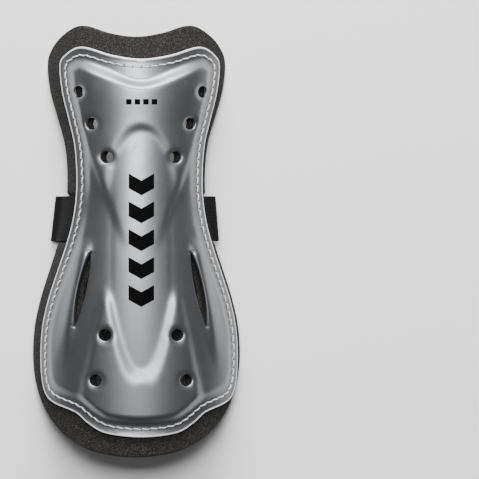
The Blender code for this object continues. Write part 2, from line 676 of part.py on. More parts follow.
def make_strap():
    """Long elastic strap on the left: sewn stretch, free run, lead and hook end."""
    arm = STRAP_FOLD_GAP + STRAP_THICKNESS / 2
    end = (-STRAP_FOLD_X + arm * math.sin(STRAP_FOLD_SLOPE), STRAP_FOLD_Z + arm * math.cos(STRAP_FOLD_SLOPE))
    sewn_stretch("strap_sewn_end", -1, end, STRAP_FOLD_SLOPE)
    fold = pivot("strap_fold", STRAP_FOLD_X, STRAP_FOLD_Z)
    top = STRAP_THICKNESS
    run = [(STRAP_FOLD_X + GAP, top), (STRAP_STRETCH_END, top)]
    ribbon("strap_elastic_run", shifted(run, STRAP_FOLD_X, STRAP_FOLD_Z), STRAP_THICKNESS, STRAP_WIDTH,
           strap_finish("strap_run_elastic"), fold)
    slide = pivot("strap_slide", STRAP_STRETCH_END + GAP, STRAP_FOLD_Z, fold)
    lead = [(STRAP_STRETCH_END + GAP, top), (PEEL_X - GAP / 2, top)]
    ribbon("strap_lead", shifted(lead, STRAP_STRETCH_END + GAP, STRAP_FOLD_Z), STRAP_THICKNESS, STRAP_WIDTH,
           strap_finish("strap_lead_elastic"), slide)
    peel = bpy.data.objects.new("strap_peel", None)
    bpy.context.scene.collection.objects.link(peel)
    peel.parent = slide
    peel.location = (PEEL_X - STRAP_STRETCH_END - GAP, 0, -STRAP_FOLD_Z)
    tip = [(PEEL_X + GAP / 2, top), (STRAP_TIP, top)]
    ribbon("strap_hook_end", shifted(tip, PEEL_X, 0), STRAP_THICKNESS, STRAP_WIDTH,
           strap_finish("strap_end_elastic"), peel)
    patch_top = STRAP_THICKNESS + GAP + PATCH_THICKNESS
    patch = [(HOOK_PATCH[0], patch_top), (HOOK_PATCH[1], patch_top)]
    ribbon("hook_patch", shifted(patch, PEEL_X, 0), PATCH_THICKNESS, PATCH_WIDTH,
           material("hook_tape", (0.02, 0.02, 0.021), 0.55), peel)
    patch_seam("hook_patch_stitching", HOOK_PATCH, patch_top + GAP + THREAD_RADIUS, PEEL_X, 0, peel)
    return patch_top


def make_tab(hook_top):
    """Short elastic tab on the right, which carries the loop patch."""
    arm = TAB_FOLD_GAP + STRAP_THICKNESS / 2
    end = (TAB_FOLD_X + arm * math.sin(TAB_FOLD_SLOPE), TAB_FOLD_Z + arm * math.cos(TAB_FOLD_SLOPE))
    sewn_stretch("tab_sewn_end", 1, end, TAB_FOLD_SLOPE)
    fold = pivot("tab_fold", TAB_FOLD_X, TAB_FOLD_Z)
    patch_low = hook_top + PILE_SPACE
    tab_top = patch_low + PATCH_THICKNESS + GAP + STRAP_THICKNESS
    start = (TAB_FOLD_X - GAP, TAB_FOLD_Z - TAB_FOLD_GAP)
    path = [start, (start[0] - TAB_EASING, start[1] - TAB_EASING * 0.15)]
    path += [(TAB_LANDING_X + TAB_EASING, tab_top + TAB_EASING * 0.15)]
    path += [(TAB_LANDING_X, tab_top), (TAB_TIP, tab_top)]
    ribbon("tab_run", shifted(path, TAB_FOLD_X, TAB_FOLD_Z), STRAP_THICKNESS, STRAP_WIDTH,
           strap_finish("tab_elastic"), fold)
    patch = [(LOOP_PATCH[0], patch_low + PATCH_THICKNESS), (LOOP_PATCH[1], patch_low + PATCH_THICKNESS)]
    ribbon("loop_patch", shifted(patch, TAB_FOLD_X, TAB_FOLD_Z), PATCH_THICKNESS, PATCH_WIDTH,
           material("loop_tape", (0.025, 0.025, 0.027), 0.95), fold)
    patch_seam("loop_patch_stitching", LOOP_PATCH, tab_top + GAP + THREAD_RADIUS,
               TAB_FOLD_X, TAB_FOLD_Z, fold)


def main():
    """Clear the scene and build every piece."""
    for item in list(bpy.data.objects):
        bpy.data.objects.remove(item)
    outline = shell_outline()
    make_shell(outline)
    make_pad(pad_outline())
    make_seam(outline)
    hook_top = make_strap()
    make_tab(hook_top)
    bpy.context.view_layer.update()


main()
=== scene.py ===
"""Shin guard: glossy moulded shell sewn over a foam pad, with a strap that closes behind the leg."""
import json
import logging
import math
from dataclasses import dataclass
from enum import Enum
from typing import Callable, Iterable, Sequence, Union

import bmesh
import bpy
import numpy as np
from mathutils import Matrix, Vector
from mathutils.geometry import delaunay_2d_cdt


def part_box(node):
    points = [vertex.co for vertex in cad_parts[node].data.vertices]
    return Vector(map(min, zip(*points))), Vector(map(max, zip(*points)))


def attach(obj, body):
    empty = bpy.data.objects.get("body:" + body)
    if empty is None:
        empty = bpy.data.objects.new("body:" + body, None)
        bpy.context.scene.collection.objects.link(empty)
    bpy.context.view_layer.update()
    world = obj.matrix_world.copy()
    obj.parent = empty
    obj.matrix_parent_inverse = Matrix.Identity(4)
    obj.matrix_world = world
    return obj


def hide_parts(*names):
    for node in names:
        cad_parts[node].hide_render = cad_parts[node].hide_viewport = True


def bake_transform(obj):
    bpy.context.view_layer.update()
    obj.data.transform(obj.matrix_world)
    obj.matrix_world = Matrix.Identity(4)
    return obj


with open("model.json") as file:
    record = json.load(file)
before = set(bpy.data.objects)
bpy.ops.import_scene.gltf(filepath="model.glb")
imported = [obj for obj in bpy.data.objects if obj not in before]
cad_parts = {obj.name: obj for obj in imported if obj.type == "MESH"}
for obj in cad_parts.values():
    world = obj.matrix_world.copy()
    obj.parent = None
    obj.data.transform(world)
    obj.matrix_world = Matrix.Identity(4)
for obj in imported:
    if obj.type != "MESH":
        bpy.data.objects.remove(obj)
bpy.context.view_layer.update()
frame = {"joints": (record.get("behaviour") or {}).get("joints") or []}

MM = 0.001
LOG = logging.getLogger("shin_guard")
Array = np.ndarray
Number = Union[Array, float]
Points = Sequence[tuple[float, float]]


class Body(Enum):
    """The bodies that pieces ride on."""

    GUARD = "guard"
    STRAP = "strap"
    LEAD = "strap_lead"
    HOOK_END = "hook_end"
    TAB = "tab"


class Side(Enum):
    """Which side of the leg a sewn strap end is on."""

    LEFT = -1
    RIGHT = 1


# ---------------------------------------------------------------- shader maths


class Socket:
    """A shader value that can be used in arithmetic."""

    def __init__(self, graph: "Graph", output: bpy.types.NodeSocket) -> None:
        """Keep the graph and the output that holds the value."""
        self.graph = graph
        self.output = output

    def __add__(self, other: "Value") -> "Socket":
        """Sum."""
        return self.graph.math("ADD", self, other)

    __radd__ = __add__

    def __sub__(self, other: "Value") -> "Socket":
        """Difference."""
        return self.graph.math("SUBTRACT", self, other)

    def __rsub__(self, other: "Value") -> "Socket":
        """Difference from a number."""
        return self.graph.math("SUBTRACT", other, self)

    def __mul__(self, other: "Value") -> "Socket":
        """Product."""
        return self.graph.math("MULTIPLY", self, other)

    __rmul__ = __mul__

    def __truediv__(self, other: "Value") -> "Socket":
        """Quotient."""
        return self.graph.math("DIVIDE", self, other)

    def __abs__(self) -> "Socket":
        """Distance from zero."""
        return self.graph.math("ABSOLUTE", self)

    def high(self, other: "Value") -> "Socket":
        """The higher of two values."""
        return self.graph.math("MAXIMUM", self, other)

    def wave(self, length: float) -> "Socket":
        """Sine of this distance, with the given wavelength."""
        return self.graph.math("SINE", self * (math.tau / length))

    def step(self, low: float, high: float) -> "Socket":
        """Smooth step: 0 at low and 1 at high."""
        sockets = {"Value": self, "From Min": low, "From Max": high}
        made = self.graph.node("ShaderNodeMapRange", {"interpolation_type": "SMOOTHSTEP"}, sockets)
        return Socket(self.graph, made.outputs["Result"])

    def below(self, edge: float, soft: float) -> "Socket":
        """1 where the value is below an edge, fading over soft."""
        return 1.0 - self.step(edge - soft / 2, edge + soft / 2)


Value = Union[Socket, float]
Colour = tuple[float, float, float]


class Graph:
    """Builds the nodes of one Principled material."""

    def __init__(self, name: str) -> None:
        """Start a material.

        Args:
            name: the material's name.
        """
        self.material = bpy.data.materials.new(name)
        self.material.use_nodes = True
        self.shader = self.material.node_tree.nodes["Principled BSDF"]

    def node(self, kind: str, settings: dict, sockets: dict) -> bpy.types.Node:
        """Add a node.

        Args:
            kind: the node's type.
            settings: its own settings, made first.
            sockets: values or links, by socket name or number.

        Returns:
            The node.
        """
        made = self.material.node_tree.nodes.new(kind)
        for key, value in settings.items():
            setattr(made, key, value)
        for key, value in sockets.items():
            self.feed(made.inputs[key], value)
        return made

    def feed(self, target: bpy.types.NodeSocket, value: Union[Value, Colour]) -> None:
        """Set or link one input."""
        if isinstance(value, Socket):
            self.material.node_tree.links.new(value.output, target)
        elif isinstance(value, tuple) and target.type == "RGBA":
            target.default_value = (*value, 1.0)
        else:
            target.default_value = value

    def math(self, operation: str, first: Value, second: Value = 0.0) -> Socket:
        """One Math node."""
        made = self.node("ShaderNodeMath", {"operation": operation}, {0: first, 1: second})
        return Socket(self, made.outputs[0])

    def place(self) -> tuple[Socket, Socket, Socket, Socket]:
        """Position on the piece in metres, whole and as x, y and z."""
        made = self.node("ShaderNodeTexCoord", {}, {})
        whole = Socket(self, made.outputs["Object"])
        split = self.node("ShaderNodeSeparateXYZ", {}, {0: whole})
        return whole, *(Socket(self, split.outputs[i]) for i in range(3))

    def attribute(self, name: str) -> Socket:
        """A number stored on the mesh."""
        made = self.node("ShaderNodeAttribute", {"attribute_name": name}, {})
        return Socket(self, made.outputs["Fac"])

    def noise(self, where: Socket, size: float, detail: float = 3.0, rough: float = 0.55) -> Socket:
        """Noise whose features are about size across."""
        sockets = {"Vector": where, "Scale": 1.0 / size, "Detail": detail, "Roughness": rough}
        made = self.node("ShaderNodeTexNoise", {}, sockets)
        return Socket(self, made.outputs["Fac"])

    def cells(self, where: Socket, size: float) -> Socket:
        """Distance to the nearest of scattered points about size apart."""
        made = self.node("ShaderNodeTexVoronoi", {}, {"Vector": where, "Scale": 1.0 / size})
        return Socket(self, made.outputs["Distance"])

    def mix(self, share: Value, first: Union[Socket, Colour], second: Union[Socket, Colour]) -> Socket:
        """Mix two colours."""
        made = self.node("ShaderNodeMix", {"data_type": "RGBA"}, {0: share, 6: first, 7: second})
        return Socket(self, made.outputs[2])

    def bump(self, height: Socket, depth: float, strength: float = 1.0) -> Socket:
        """Normal from a height of 0 to 1 that stands for depth metres."""
        sockets = {"Height": height, "Distance": depth, "Strength": strength}
        made = self.node("ShaderNodeBump", {}, sockets)
        return Socket(self, made.outputs["Normal"])

    def finish(self, **inputs: Union[Value, Colour]) -> bpy.types.Material:
        """Feed the shader and return the material. Socket names come with _ for each space."""
        for key, value in inputs.items():
            self.feed(self.shader.inputs[key.replace("_", " ")], value)
        return self.material


# ---------------------------------------------------------------- finishes


@dataclass(frozen=True)
class SilverPlastic:
    """Silver-grey moulded sheet with a clear gloss, a pale cut edge and a plain printed pattern."""

    base: Colour = (0.18, 0.184, 0.192)
    dull: Colour = (0.16, 0.164, 0.172)
    flake: Colour = (0.40, 0.41, 0.42)
    edge: Colour = (0.86, 0.86, 0.90)
    ink: Colour = (0.002, 0.002, 0.002)
    metallic: float = 0.95
    roughness: float = 0.38
    print_half_width: float = 7.2 * MM
    print_low: float = -38.0 * MM
    print_high: float = 39.0 * MM
    ink_soft: float = 0.25 * MM
    rim_width: float = 1.0 * MM
    chevrons: int = 5
    chevron_depth: float = 8.2 * MM
    chevron_slant: float = 0.55
    dash_y: float = 77.0 * MM
    dash_pitch: float = 4.6 * MM
    dash_half: float = 1.5 * MM
    dash_count: int = 4

    def print_mask(self, graph: Graph, x: Socket, y: Socket) -> Socket:
        """Where ink lies: a column of chevrons and a row of short dashes."""
        soft = self.ink_soft
        pitch = (self.print_high - self.print_low) / self.chevrons
        across = abs(x)
        column = (y - self.print_low) / pitch
        cell = (graph.math("FRACT", column) - 0.5) * pitch
        slant = self.print_half_width * self.chevron_slant
        bent = abs(cell - across * self.chevron_slant + slant * 0.5)
        chevron = bent.below(self.chevron_depth / 2, soft) * across.below(self.print_half_width, soft)
        inside = column.step(-0.01, 0.01) * (1.0 - column.step(self.chevrons - 0.01, self.chevrons + 0.01))
        half_row = self.dash_pitch * self.dash_count / 2
        dash = graph.math("FRACT", (x + half_row) / self.dash_pitch) - 0.5
        dashes = abs(dash * self.dash_pitch).below(self.dash_half, soft) * across.below(half_row, soft)
        dashes = dashes * abs(y - self.dash_y).below(self.dash_half, soft)
        return (chevron * inside).high(dashes)

    def make(self) -> bpy.types.Material:
        """Build the material."""
        graph = Graph("silver_plastic")
        place, _, y, _ = graph.place()
        front = graph.attribute("front")
        ink = self.print_mask(graph, graph.attribute("across"), y) * front.step(0.4, 0.6)
        rim = graph.attribute("rim").below(self.rim_width, self.rim_width / 2)
        cloud = graph.noise(place, 35 * MM, 2.0)
        flake = graph.noise(place, 0.35 * MM, 1.0)
        tone = graph.mix(cloud.step(0.35, 0.7) * 0.35, self.base, self.dull)
        tone = graph.mix(flake.step(0.45, 0.75) * 0.12, tone, self.flake)
        tone = graph.mix(rim * 0.85, tone, self.edge)
        tone = graph.mix(ink, tone, self.ink)
        scuff = graph.noise(place, 6 * MM, 6.0, 0.7).step(0.55, 0.72)
        ripple = graph.noise(place, 4.5 * MM, 2.0)
        return graph.finish(
            Base_Color=tone,
            Metallic=self.metallic - rim * 0.7,
            Roughness=self.roughness + scuff * 0.07 + cloud * 0.04 + ink * 0.25,
            Normal=graph.bump(ripple * 0.7 + flake * 0.3, 0.05 * MM, 0.5),
            Coat_Weight=(1.0 - ink) * (0.35 - scuff * 0.15),
            Coat_Roughness=0.15,
        )


@dataclass(frozen=True)
class Foam:
    """Charcoal closed-cell foam, finely pitted."""

    base: Colour = (0.009, 0.0088, 0.0083)
    speck: Colour = (0.050, 0.048, 0.0455)
    dust: Colour = (0.021, 0.020, 0.018)
    cell: float = 0.9 * MM

    def make(self) -> bpy.types.Material:
        """Build the material."""
        graph = Graph("black_foam")
        place = graph.place()[0]
        pits = graph.cells(place, self.cell)
        grain = graph.noise(place, 0.8 * MM, 3.0, 0.6)
        cloud = graph.noise(place, 22 * MM, 3.0)
        tone = graph.mix(grain.step(0.46, 0.66), self.base, self.speck)
        tone = graph.mix(cloud * 0.3, tone, self.dust)
        height = pits.step(0.1, 0.75) * 0.55 + grain * 0.45
        return graph.finish(
            Base_Color=tone,
            Roughness=0.82 + grain * 0.14,
            Normal=graph.bump(height, 0.22 * MM, 0.9),
            Specular_IOR_Level=0.2,
        )


@dataclass(frozen=True)
class Thread:
    """Twisted sewing thread."""

    name: str
    base: Colour
    shade: Colour

    def make(self) -> bpy.types.Material:
        """Build the material."""
        graph = Graph(self.name)
        place, x, y, z = graph.place()
        twist = (x + y * 0.8 + z).wave(0.55 * MM) * 0.5 + 0.5
        fluff = graph.noise(place, 0.25 * MM, 3.0)
        tone = graph.mix(twist * 0.6 + fluff * 0.3, self.shade, self.base)
        return graph.finish(
            Base_Color=tone,
            Roughness=0.5 + fluff * 0.2,
            Normal=graph.bump(twist * 0.7 + fluff * 0.3, 0.12 * MM),
            Sheen_Weight=0.25,
        )


@dataclass(frozen=True)
class Elastic:
    """Black woven elastic: ribs run along the strap, and picks of weft cross them."""

    base: Colour = (0.0022, 0.0022, 0.0024)
    lift: Colour = (0.0075, 0.0075, 0.008)
    rib: float = 1.0 * MM
    pick: float = 0.8 * MM

    def make(self) -> bpy.types.Material:
        """Build the material."""
        graph = Graph("black_elastic")
        place = graph.place()[0]
        along = graph.attribute("along")
        across = graph.attribute("across")
        rib = across.wave(self.rib) * 0.5 + 0.5
        shifted = along + across.wave(self.rib * 2) * (self.pick * 0.25)
        pick = shifted.wave(self.pick) * 0.5 + 0.5
        fluff = graph.noise(place, 0.4 * MM, 3.0)
        tone = graph.mix((pick * 0.5 + rib * 0.3 + fluff * 0.4) * 0.7, self.base, self.lift)
        return graph.finish(
            Base_Color=tone,
            Roughness=0.72 + fluff * 0.2,
            Normal=graph.bump(pick * (0.4 + rib * 0.6) * 0.8 + fluff * 0.2, 0.14 * MM, 0.9),
            Specular_IOR_Level=0.16,
        )


@dataclass(frozen=True)
class Tape:
    """Ground cloth and pile of a hook or loop patch."""

    name: str
    base: Colour
    lift: Colour
    weave: float

    def make(self) -> bpy.types.Material:
        """Build the material."""
        graph = Graph(self.name)
        place, x, y, _ = graph.place()
        warp = x.wave(self.weave) * 0.5 + 0.5
        weft = y.wave(self.weave) * 0.5 + 0.5
        fluff = graph.noise(place, 0.3 * MM, 4.0, 0.7)
        tone = graph.mix(warp * weft * 0.4 + fluff * 0.4, self.base, self.lift)
        return graph.finish(
            Base_Color=tone,
            Roughness=0.6 + fluff * 0.3,
            Normal=graph.bump(warp * weft * 0.6 + fluff * 0.4, 0.12 * MM),
            Sheen_Weight=0.3,
        )


# ---------------------------------------------------------------- form of the guard


def ease(value: Number, low: float, high: float) -> Array:
    """Smooth step from 0 below low to 1 above high."""
    t = np.clip((np.asarray(value, dtype=float) - low) / (high - low), 0.0, 1.0)
    return t * t * (3.0 - 2.0 * t)


def smooth_through(points: Points, step: float) -> list[Array]:
    """Catmull-Rom curve.

    Args:
        points: the points it passes through. Where it starts or ends on the middle line, it is level.
        step: about how far apart its samples are.

    Returns:
        The samples, with the last point.
    """
    knots = [np.array(p, dtype=float) for p in points]
    before, after = 2 * knots[0] - knots[1], 2 * knots[-1] - knots[-2]
    if knots[0][0] == 0.0:
        before, after = knots[1] * (-1, 1), knots[-2] * (-1, 1)
    padded = [before, *knots, after]
    curve = []
    for a, b, c, d in zip(padded, padded[1:], padded[2:], padded[3:]):
        count = max(1, round(float(np.linalg.norm(c - b)) / step))
        for t in np.arange(count) / count:
            curve.append(0.5 * (2 * b + (c - a) * t + (2 * a - 5 * b + 4 * c - d) * t**2
                                + (3 * b - a - 3 * c + d) * t**3))
    curve.append(knots[-1])
    return curve


def spaced(loop: Array, step: float) -> Array:
    """Resample a closed loop evenly, about step apart."""
    closed = np.vstack((loop, loop[:1]))
    reach = np.concatenate(([0.0], np.cumsum(np.linalg.norm(np.diff(closed, axis=0), axis=1))))
    places = np.linspace(0.0, reach[-1], max(8, round(reach[-1] / step)), endpoint=False)
    return np.column_stack([np.interp(places, reach, closed[:, i]) for i in range(loop.shape[1])])


def inset(loop: Array, distance: float) -> Array:
    """Move a closed anticlockwise loop inwards."""
    ahead = np.roll(loop, -1, axis=0) - np.roll(loop, 1, axis=0)
    ahead = ahead / np.linalg.norm(ahead, axis=1)[:, None]
    return loop + distance * np.column_stack((-ahead[:, 1], ahead[:, 0]))


def loop_distance(places: Array, loop: Array) -> Array:
    """Distance of flat places from a closed loop, whichever side they are on."""
    best = np.full(len(places), np.inf)
    for (a, b), (u, v) in zip(loop, np.roll(loop, -1, axis=0) - loop):
        s, y = places[:, 0] - a, places[:, 1] - b
        t = np.clip((s * u + y * v) / (u * u + v * v), 0, 1)
        best = np.minimum(best, np.hypot(s - t * u, y - t * v))
    return best


def inside_loop(places: Array, loop: Array) -> Array:
    """Which flat places are inside a closed loop."""
    found = np.zeros(len(places), dtype=bool)
    for (a, b), (c, d) in zip(loop, np.roll(loop, -1, axis=0)):
        crosses = (b > places[:, 1]) != (d > places[:, 1])
        with np.errstate(divide="ignore", invalid="ignore"):
            at = a + (places[:, 1] - b) * (c - a) / (d - b)
        found ^= crosses & (places[:, 0] < at)
    return found


@dataclass(frozen=True)
class LegForm:
    """The curved face where the shell meets the pad, and the outlines drawn on it.

    Flat places are (s, y, n): s is the distance round the leg, y the distance along the shin and n the
    height over that face.
    """

    length: float = 239.2 * MM
    knee_half: float = 57.8 * MM
    waist_half: float = 38.6 * MM
    ankle_half: float = 49.7 * MM
    knee_y: float = -60.0 * MM
    waist_low_y: float = 30.0 * MM
    waist_high_y: float = 41.0 * MM
    ankle_y: float = 97.0 * MM
    knee_angle: float = math.radians(70.0)
    waist_angle: float = math.radians(66.0)
    ankle_angle: float = math.radians(66.0)
    bow: float = 5.0 * MM
    front_height: float = 40.841 * MM
    front_slope: float = -0.037624
    knee_rounding: float = 2.35
    lobe_x: float = 31.0 * MM
    lobe_shoulder_x: float = 41.7 * MM
    lobe_shoulder_drop: float = 5.6 * MM
    notch: float = 6.3 * MM
    margins: tuple[float, float, float] = (3.1 * MM, 3.5 * MM, 5.2 * MM)
    shell_offset: float = 3.0 * MM
    feature_height: float = 4.5 * MM
    shell_face: float = 2.1 * MM
    ankle_margin: float = 11.8 * MM
    knee_margin: float = 11.1 * MM
    tongue_half: float = 29.5 * MM
    tongue_step: float = 13.5 * MM
    step: float = 1.2 * MM

    def along(self, y: Number, knee: float, waist: float, ankle: float) -> Array:
        """Blend a size from its knee value to its waist value and on to its ankle value."""
        up = np.clip((np.asarray(y) - self.waist_high_y) / (self.ankle_y - self.waist_high_y), 0, 1)
        down = np.clip((self.waist_low_y - np.asarray(y)) / (self.waist_low_y - self.knee_y), 0, 1)
        up, down = 0.5 - 0.5 * np.cos(math.pi * up), 0.5 - 0.5 * np.cos(math.pi * down)
        return waist + (ankle - waist) * up + (knee - waist) * down

    def half_width(self, y: Number) -> Array:
        """Half-width of the pad, seen from the front."""
        return self.along(y, self.knee_half, self.waist_half, self.ankle_half)

    def radius(self, y: Number) -> Array:
        """Radius of the cross-section."""
        return self.along(y, self.knee_half / math.sin(self.knee_angle),
                          self.waist_half / math.sin(self.waist_angle),
                          self.ankle_half / math.sin(self.ankle_angle))

    def crown(self, y: Number) -> Array:
        """Height of the front line."""
        y = np.asarray(y)
        return self.front_height + self.front_slope * y - self.bow * (2 * y / self.length) ** 2

    def to_flat(self, x: Number, y: Number, height: float = 0.0) -> Array:
        """Distance round the leg of a point seen at x, at a height over the pad."""
        r = self.radius(y)
        return r * np.arcsin(np.clip(np.asarray(x) / (r + height), -1.0, 1.0))

    def to_front(self, s: Number, y: Number, height: float) -> Array:
        """Where a point at s and at a height over the pad is seen from the front."""
        r = self.radius(y)
        return (r + height) * np.sin(np.asarray(s) / r)

    def bend(self, flat: Array, offset: float = 0.0) -> Array:
        """Wrap flat places, in rows of (s, y, n), round the leg, off its middle line by an offset."""
        s, y, n = flat[:, 0] + offset, flat[:, 1], flat[:, 2]
        r = self.radius(y)
        return np.column_stack(((r + n) * np.sin(s / r), y, self.crown(y) - r + (r + n) * np.cos(s / r)))

    def sides(self, margins: tuple[float, float, float]) -> list[tuple[float, float]]:
        """Half-widths between the knee and ankle stations, less the margins."""
        return [(float(self.half_width(y) - self.along(y, *margins)), float(y))
                for y in np.linspace(self.knee_y, self.ankle_y, 12)]

    def close(self, half: Points, height: float) -> Array:
        """Flatten and mirror a right-hand half outline, knee to ankle, seen at a height over the pad."""
        right = [(float(self.to_flat(x, y, height)), float(y)) for x, y in smooth_through(half, self.step)]
        left = [(-s, y) for s, y in reversed(right[1:-1])]
        return spaced(np.array(right + left), self.step)

    def pad_outline(self) -> Array:
        """Outline of the pad, flat."""
        knee_end, ankle_end = -self.length / 2, self.length / 2
        knee = []
        for angle in np.radians((0, 18, 34, 48, 60, 71, 81)):
            x = self.knee_half * math.sin(angle) ** (2 / self.knee_rounding)
            y = self.knee_y - (self.knee_y - knee_end) * math.cos(angle) ** (2 / self.knee_rounding)
            knee.append((x, y))
        lobe = [
            (self.ankle_half - 1.6 * MM, self.ankle_y + 8.5 * MM),
            (self.lobe_shoulder_x, ankle_end - self.lobe_shoulder_drop),
            (self.lobe_x, ankle_end),
            (self.lobe_x * 0.5, ankle_end - self.notch * 0.66),
            (0.0, ankle_end - self.notch),
        ]
        return self.close(knee + self.sides((0, 0, 0)) + lobe, 0.0)

    def shell_outline(self) -> Array:
        """Outline of the shell, flat."""
        knee_end = -self.length / 2 + self.knee_margin
        ankle_end = self.length / 2 - self.ankle_margin
        wing = self.knee_half - self.margins[0]
        knee = [
            (0.0, knee_end),
            (self.tongue_half * 0.66, knee_end + 2.2 * MM),
            (self.tongue_half, knee_end + self.tongue_step * 0.58),
            (self.tongue_half + 6.5 * MM, knee_end + self.tongue_step),
            (wing - 7.0 * MM, knee_end + self.tongue_step + 5.2 * MM),
            (wing - 2.4 * MM, knee_end + self.tongue_step + 10.5 * MM),
            (wing - 0.4 * MM, knee_end + self.tongue_step + 20.0 * MM),
        ]
        lobe = [
            (self.ankle_half - self.margins[2] - 2.4 * MM, self.ankle_y + 6.0 * MM),
            (self.lobe_x + 2.0 * MM, ankle_end),
            (self.lobe_x * 0.52, ankle_end - self.notch * 0.75),
            (0.0, ankle_end - self.notch - 0.6 * MM),
        ]
        return self.close(knee + self.sides(self.margins) + lobe, self.shell_face)


# ---------------------------------------------------------------- mesh tools


def add_piece(name: str, mesh: bpy.types.Mesh, finish: bpy.types.Material, slot: str) -> bpy.types.Object:
    """Link a mesh as a piece of the object.

    Args:
        name: the piece's name.
        mesh: its mesh, already in place.
        finish: its material.
        slot: not used.

    Returns:
        The piece.
    """
    piece = bpy.data.objects.new(name, mesh)
    bpy.context.scene.collection.objects.link(piece)
    mesh.materials.append(finish)
    LOG.info("%s: %d faces", name, len(mesh.polygons))
    return piece


def mesh_of(name: str, form: bmesh.types.BMesh) -> bpy.types.Mesh:
    """Turn a bmesh into a mesh and free it."""
    mesh = bpy.data.meshes.new(name)
    form.to_mesh(mesh)
    form.free()
    return mesh


def doubled(name: str, form: bmesh.types.BMesh) -> bpy.types.Mesh:
    """Close a flat sheet with a second layer at a height of 1 and walls round its edges."""
    grown = bmesh.ops.extrude_face_region(form, geom=form.faces[:])["geom"]
    for item in grown:
        if isinstance(item, bmesh.types.BMVert):
            item.co.z = 1.0
    return mesh_of(name, form)


def set_points(mesh: bpy.types.Mesh, places: Array) -> None:
    """Move a mesh's points."""
    mesh.vertices.foreach_set("co", places.astype(np.float32).ravel())
    mesh.update()


def get_points(mesh: bpy.types.Mesh) -> Array:
    """A mesh's points, one row each."""
    flat = np.empty(len(mesh.vertices) * 3, dtype=np.float32)
    mesh.vertices.foreach_get("co", flat)
    return flat.reshape(-1, 3).astype(float)


def store(mesh: bpy.types.Mesh, name: str, values: Array) -> None:
    """Keep a number on each point of a mesh."""
    made = mesh.attributes.new(name, "FLOAT", "POINT")
    made.data.foreach_set("value", values.astype(np.float32))


def close_normals(mesh: bpy.types.Mesh, sharp: float) -> bpy.types.Mesh:
    """Turn a closed mesh's faces out and shade it smooth up to an angle in degrees."""
    form = bmesh.new()
    form.from_mesh(mesh)
    bmesh.ops.recalc_face_normals(form, faces=form.faces[:])
    form.to_mesh(mesh)
    form.free()
    mesh.shade_smooth()
    mesh.set_sharp_from_angle(angle=math.radians(sharp))
    return mesh


def edge_rounding(places: Array, loops: list[Array], radius: float) -> Array:
    """How far a sheet's face drops towards cut edges that are rounded off."""
    cut = np.min([loop_distance(places, loop) for loop in loops], axis=0)
    inward = np.clip(1 - cut / radius, 0, 1)
    return radius * (1 - np.sqrt(1 - inward**2))


@dataclass
class FlatSheet:
    """A flat sheet cut to an outline, with holes, and finer towards its cut edges."""

    outline: Array
    holes: list[Array]
    cell: float
    rings: tuple[float, ...] = (0.12 * MM, 0.35 * MM, 0.75 * MM)

    def gather(self) -> tuple[list, list]:
        """Points and edges for the triangulation: cut edges, rings along them and a grid between."""
        points, edges = [], []
        loops = [(self.outline, 1)] + [(hole, -1) for hole in self.holes]
        for loop, way in loops:
            first = len(points)
            points.extend(map(tuple, loop))
            edges += [(first + i, first + (i + 1) % len(loop)) for i in range(len(loop))]
            for ring in self.rings:
                if way > 0 or len(loop) > 12:
                    points.extend(map(tuple, inset(loop, way * ring)))
        low, high = self.outline.min(axis=0), self.outline.max(axis=0)
        grid = np.stack(np.meshgrid(np.arange(low[0], high[0], self.cell),
                                    np.arange(low[1], high[1], self.cell)), axis=-1).reshape(-1, 2)
        keep = inside_loop(grid, self.outline)
        grid = grid[keep]
        clear = loop_distance(grid, self.outline) > self.rings[-1] + self.cell * 0.5
        for hole in self.holes:
            centre = hole.mean(axis=0)
            reach = np.linalg.norm(hole - centre, axis=1).max() + self.cell * 3
            near = np.linalg.norm(grid - centre, axis=1) < reach
            room = self.rings[-1] + self.cell * 0.5 if len(hole) > 12 else self.cell * 0.45
            held = inside_loop(grid[near], hole) | (loop_distance(grid[near], hole) < room)
            clear[np.flatnonzero(near)[held]] = False
        points.extend(map(tuple, grid[clear]))
        return points, edges

    def build(self, name: str) -> tuple[bpy.types.Mesh, Array]:
        """Cut the sheet and give it a second layer and walls.

        Args:
            name: the mesh's name.

        Returns:
            The closed mesh, still flat, and which layer each point is on: 1 upper, 0 lower.
        """
        points, edges = self.gather()
        cut = delaunay_2d_cdt([Vector(p) for p in points], edges, [], 1, 1e-7)
        places = np.array([p[:] for p in cut[0]])
        faces = np.array(cut[2])
        middles = places[faces].mean(axis=1)
        keep = np.ones(len(faces), dtype=bool)
        for hole in self.holes:
            low, high = hole.min(axis=0), hole.max(axis=0)
            near = np.flatnonzero(((middles > low) & (middles < high)).all(axis=1))
            keep[near[inside_loop(middles[near], hole)]] = False
        form = bmesh.new()
        verts = [form.verts.new((s, y, 0.0)) for s, y in places]
        for a, b, c in faces[keep]:
            form.faces.new((verts[a], verts[b], verts[c]))
        bmesh.ops.delete(form, geom=[v for v in form.verts if not v.link_faces], context="VERTS")
        mesh = doubled(name, form)
        return mesh, get_points(mesh)[:, 2] > 0.5


def slab(name: str, counts: tuple[int, int],
         shape: Callable[[Array], Array]) -> tuple[bpy.types.Mesh, Array]:
    """Closed two-sided slab, shaped by a function.

    Args:
        name: the mesh's name.
        counts: cells along and across.
        shape: turns rows of (along 0..1, across -1..1, layer -1 or 1) into places.

    Returns:
        The mesh and the rows it was shaped from.
    """
    form = bmesh.new()
    bmesh.ops.create_grid(form, x_segments=counts[0], y_segments=counts[1], size=1.0)
    for vert in form.verts:
        vert.co.x = (vert.co.x + 1) / 2
        vert.co.z = -1.0
    mesh = doubled(name, form)
    rows = get_points(mesh)
    set_points(mesh, shape(rows))
    return mesh, rows


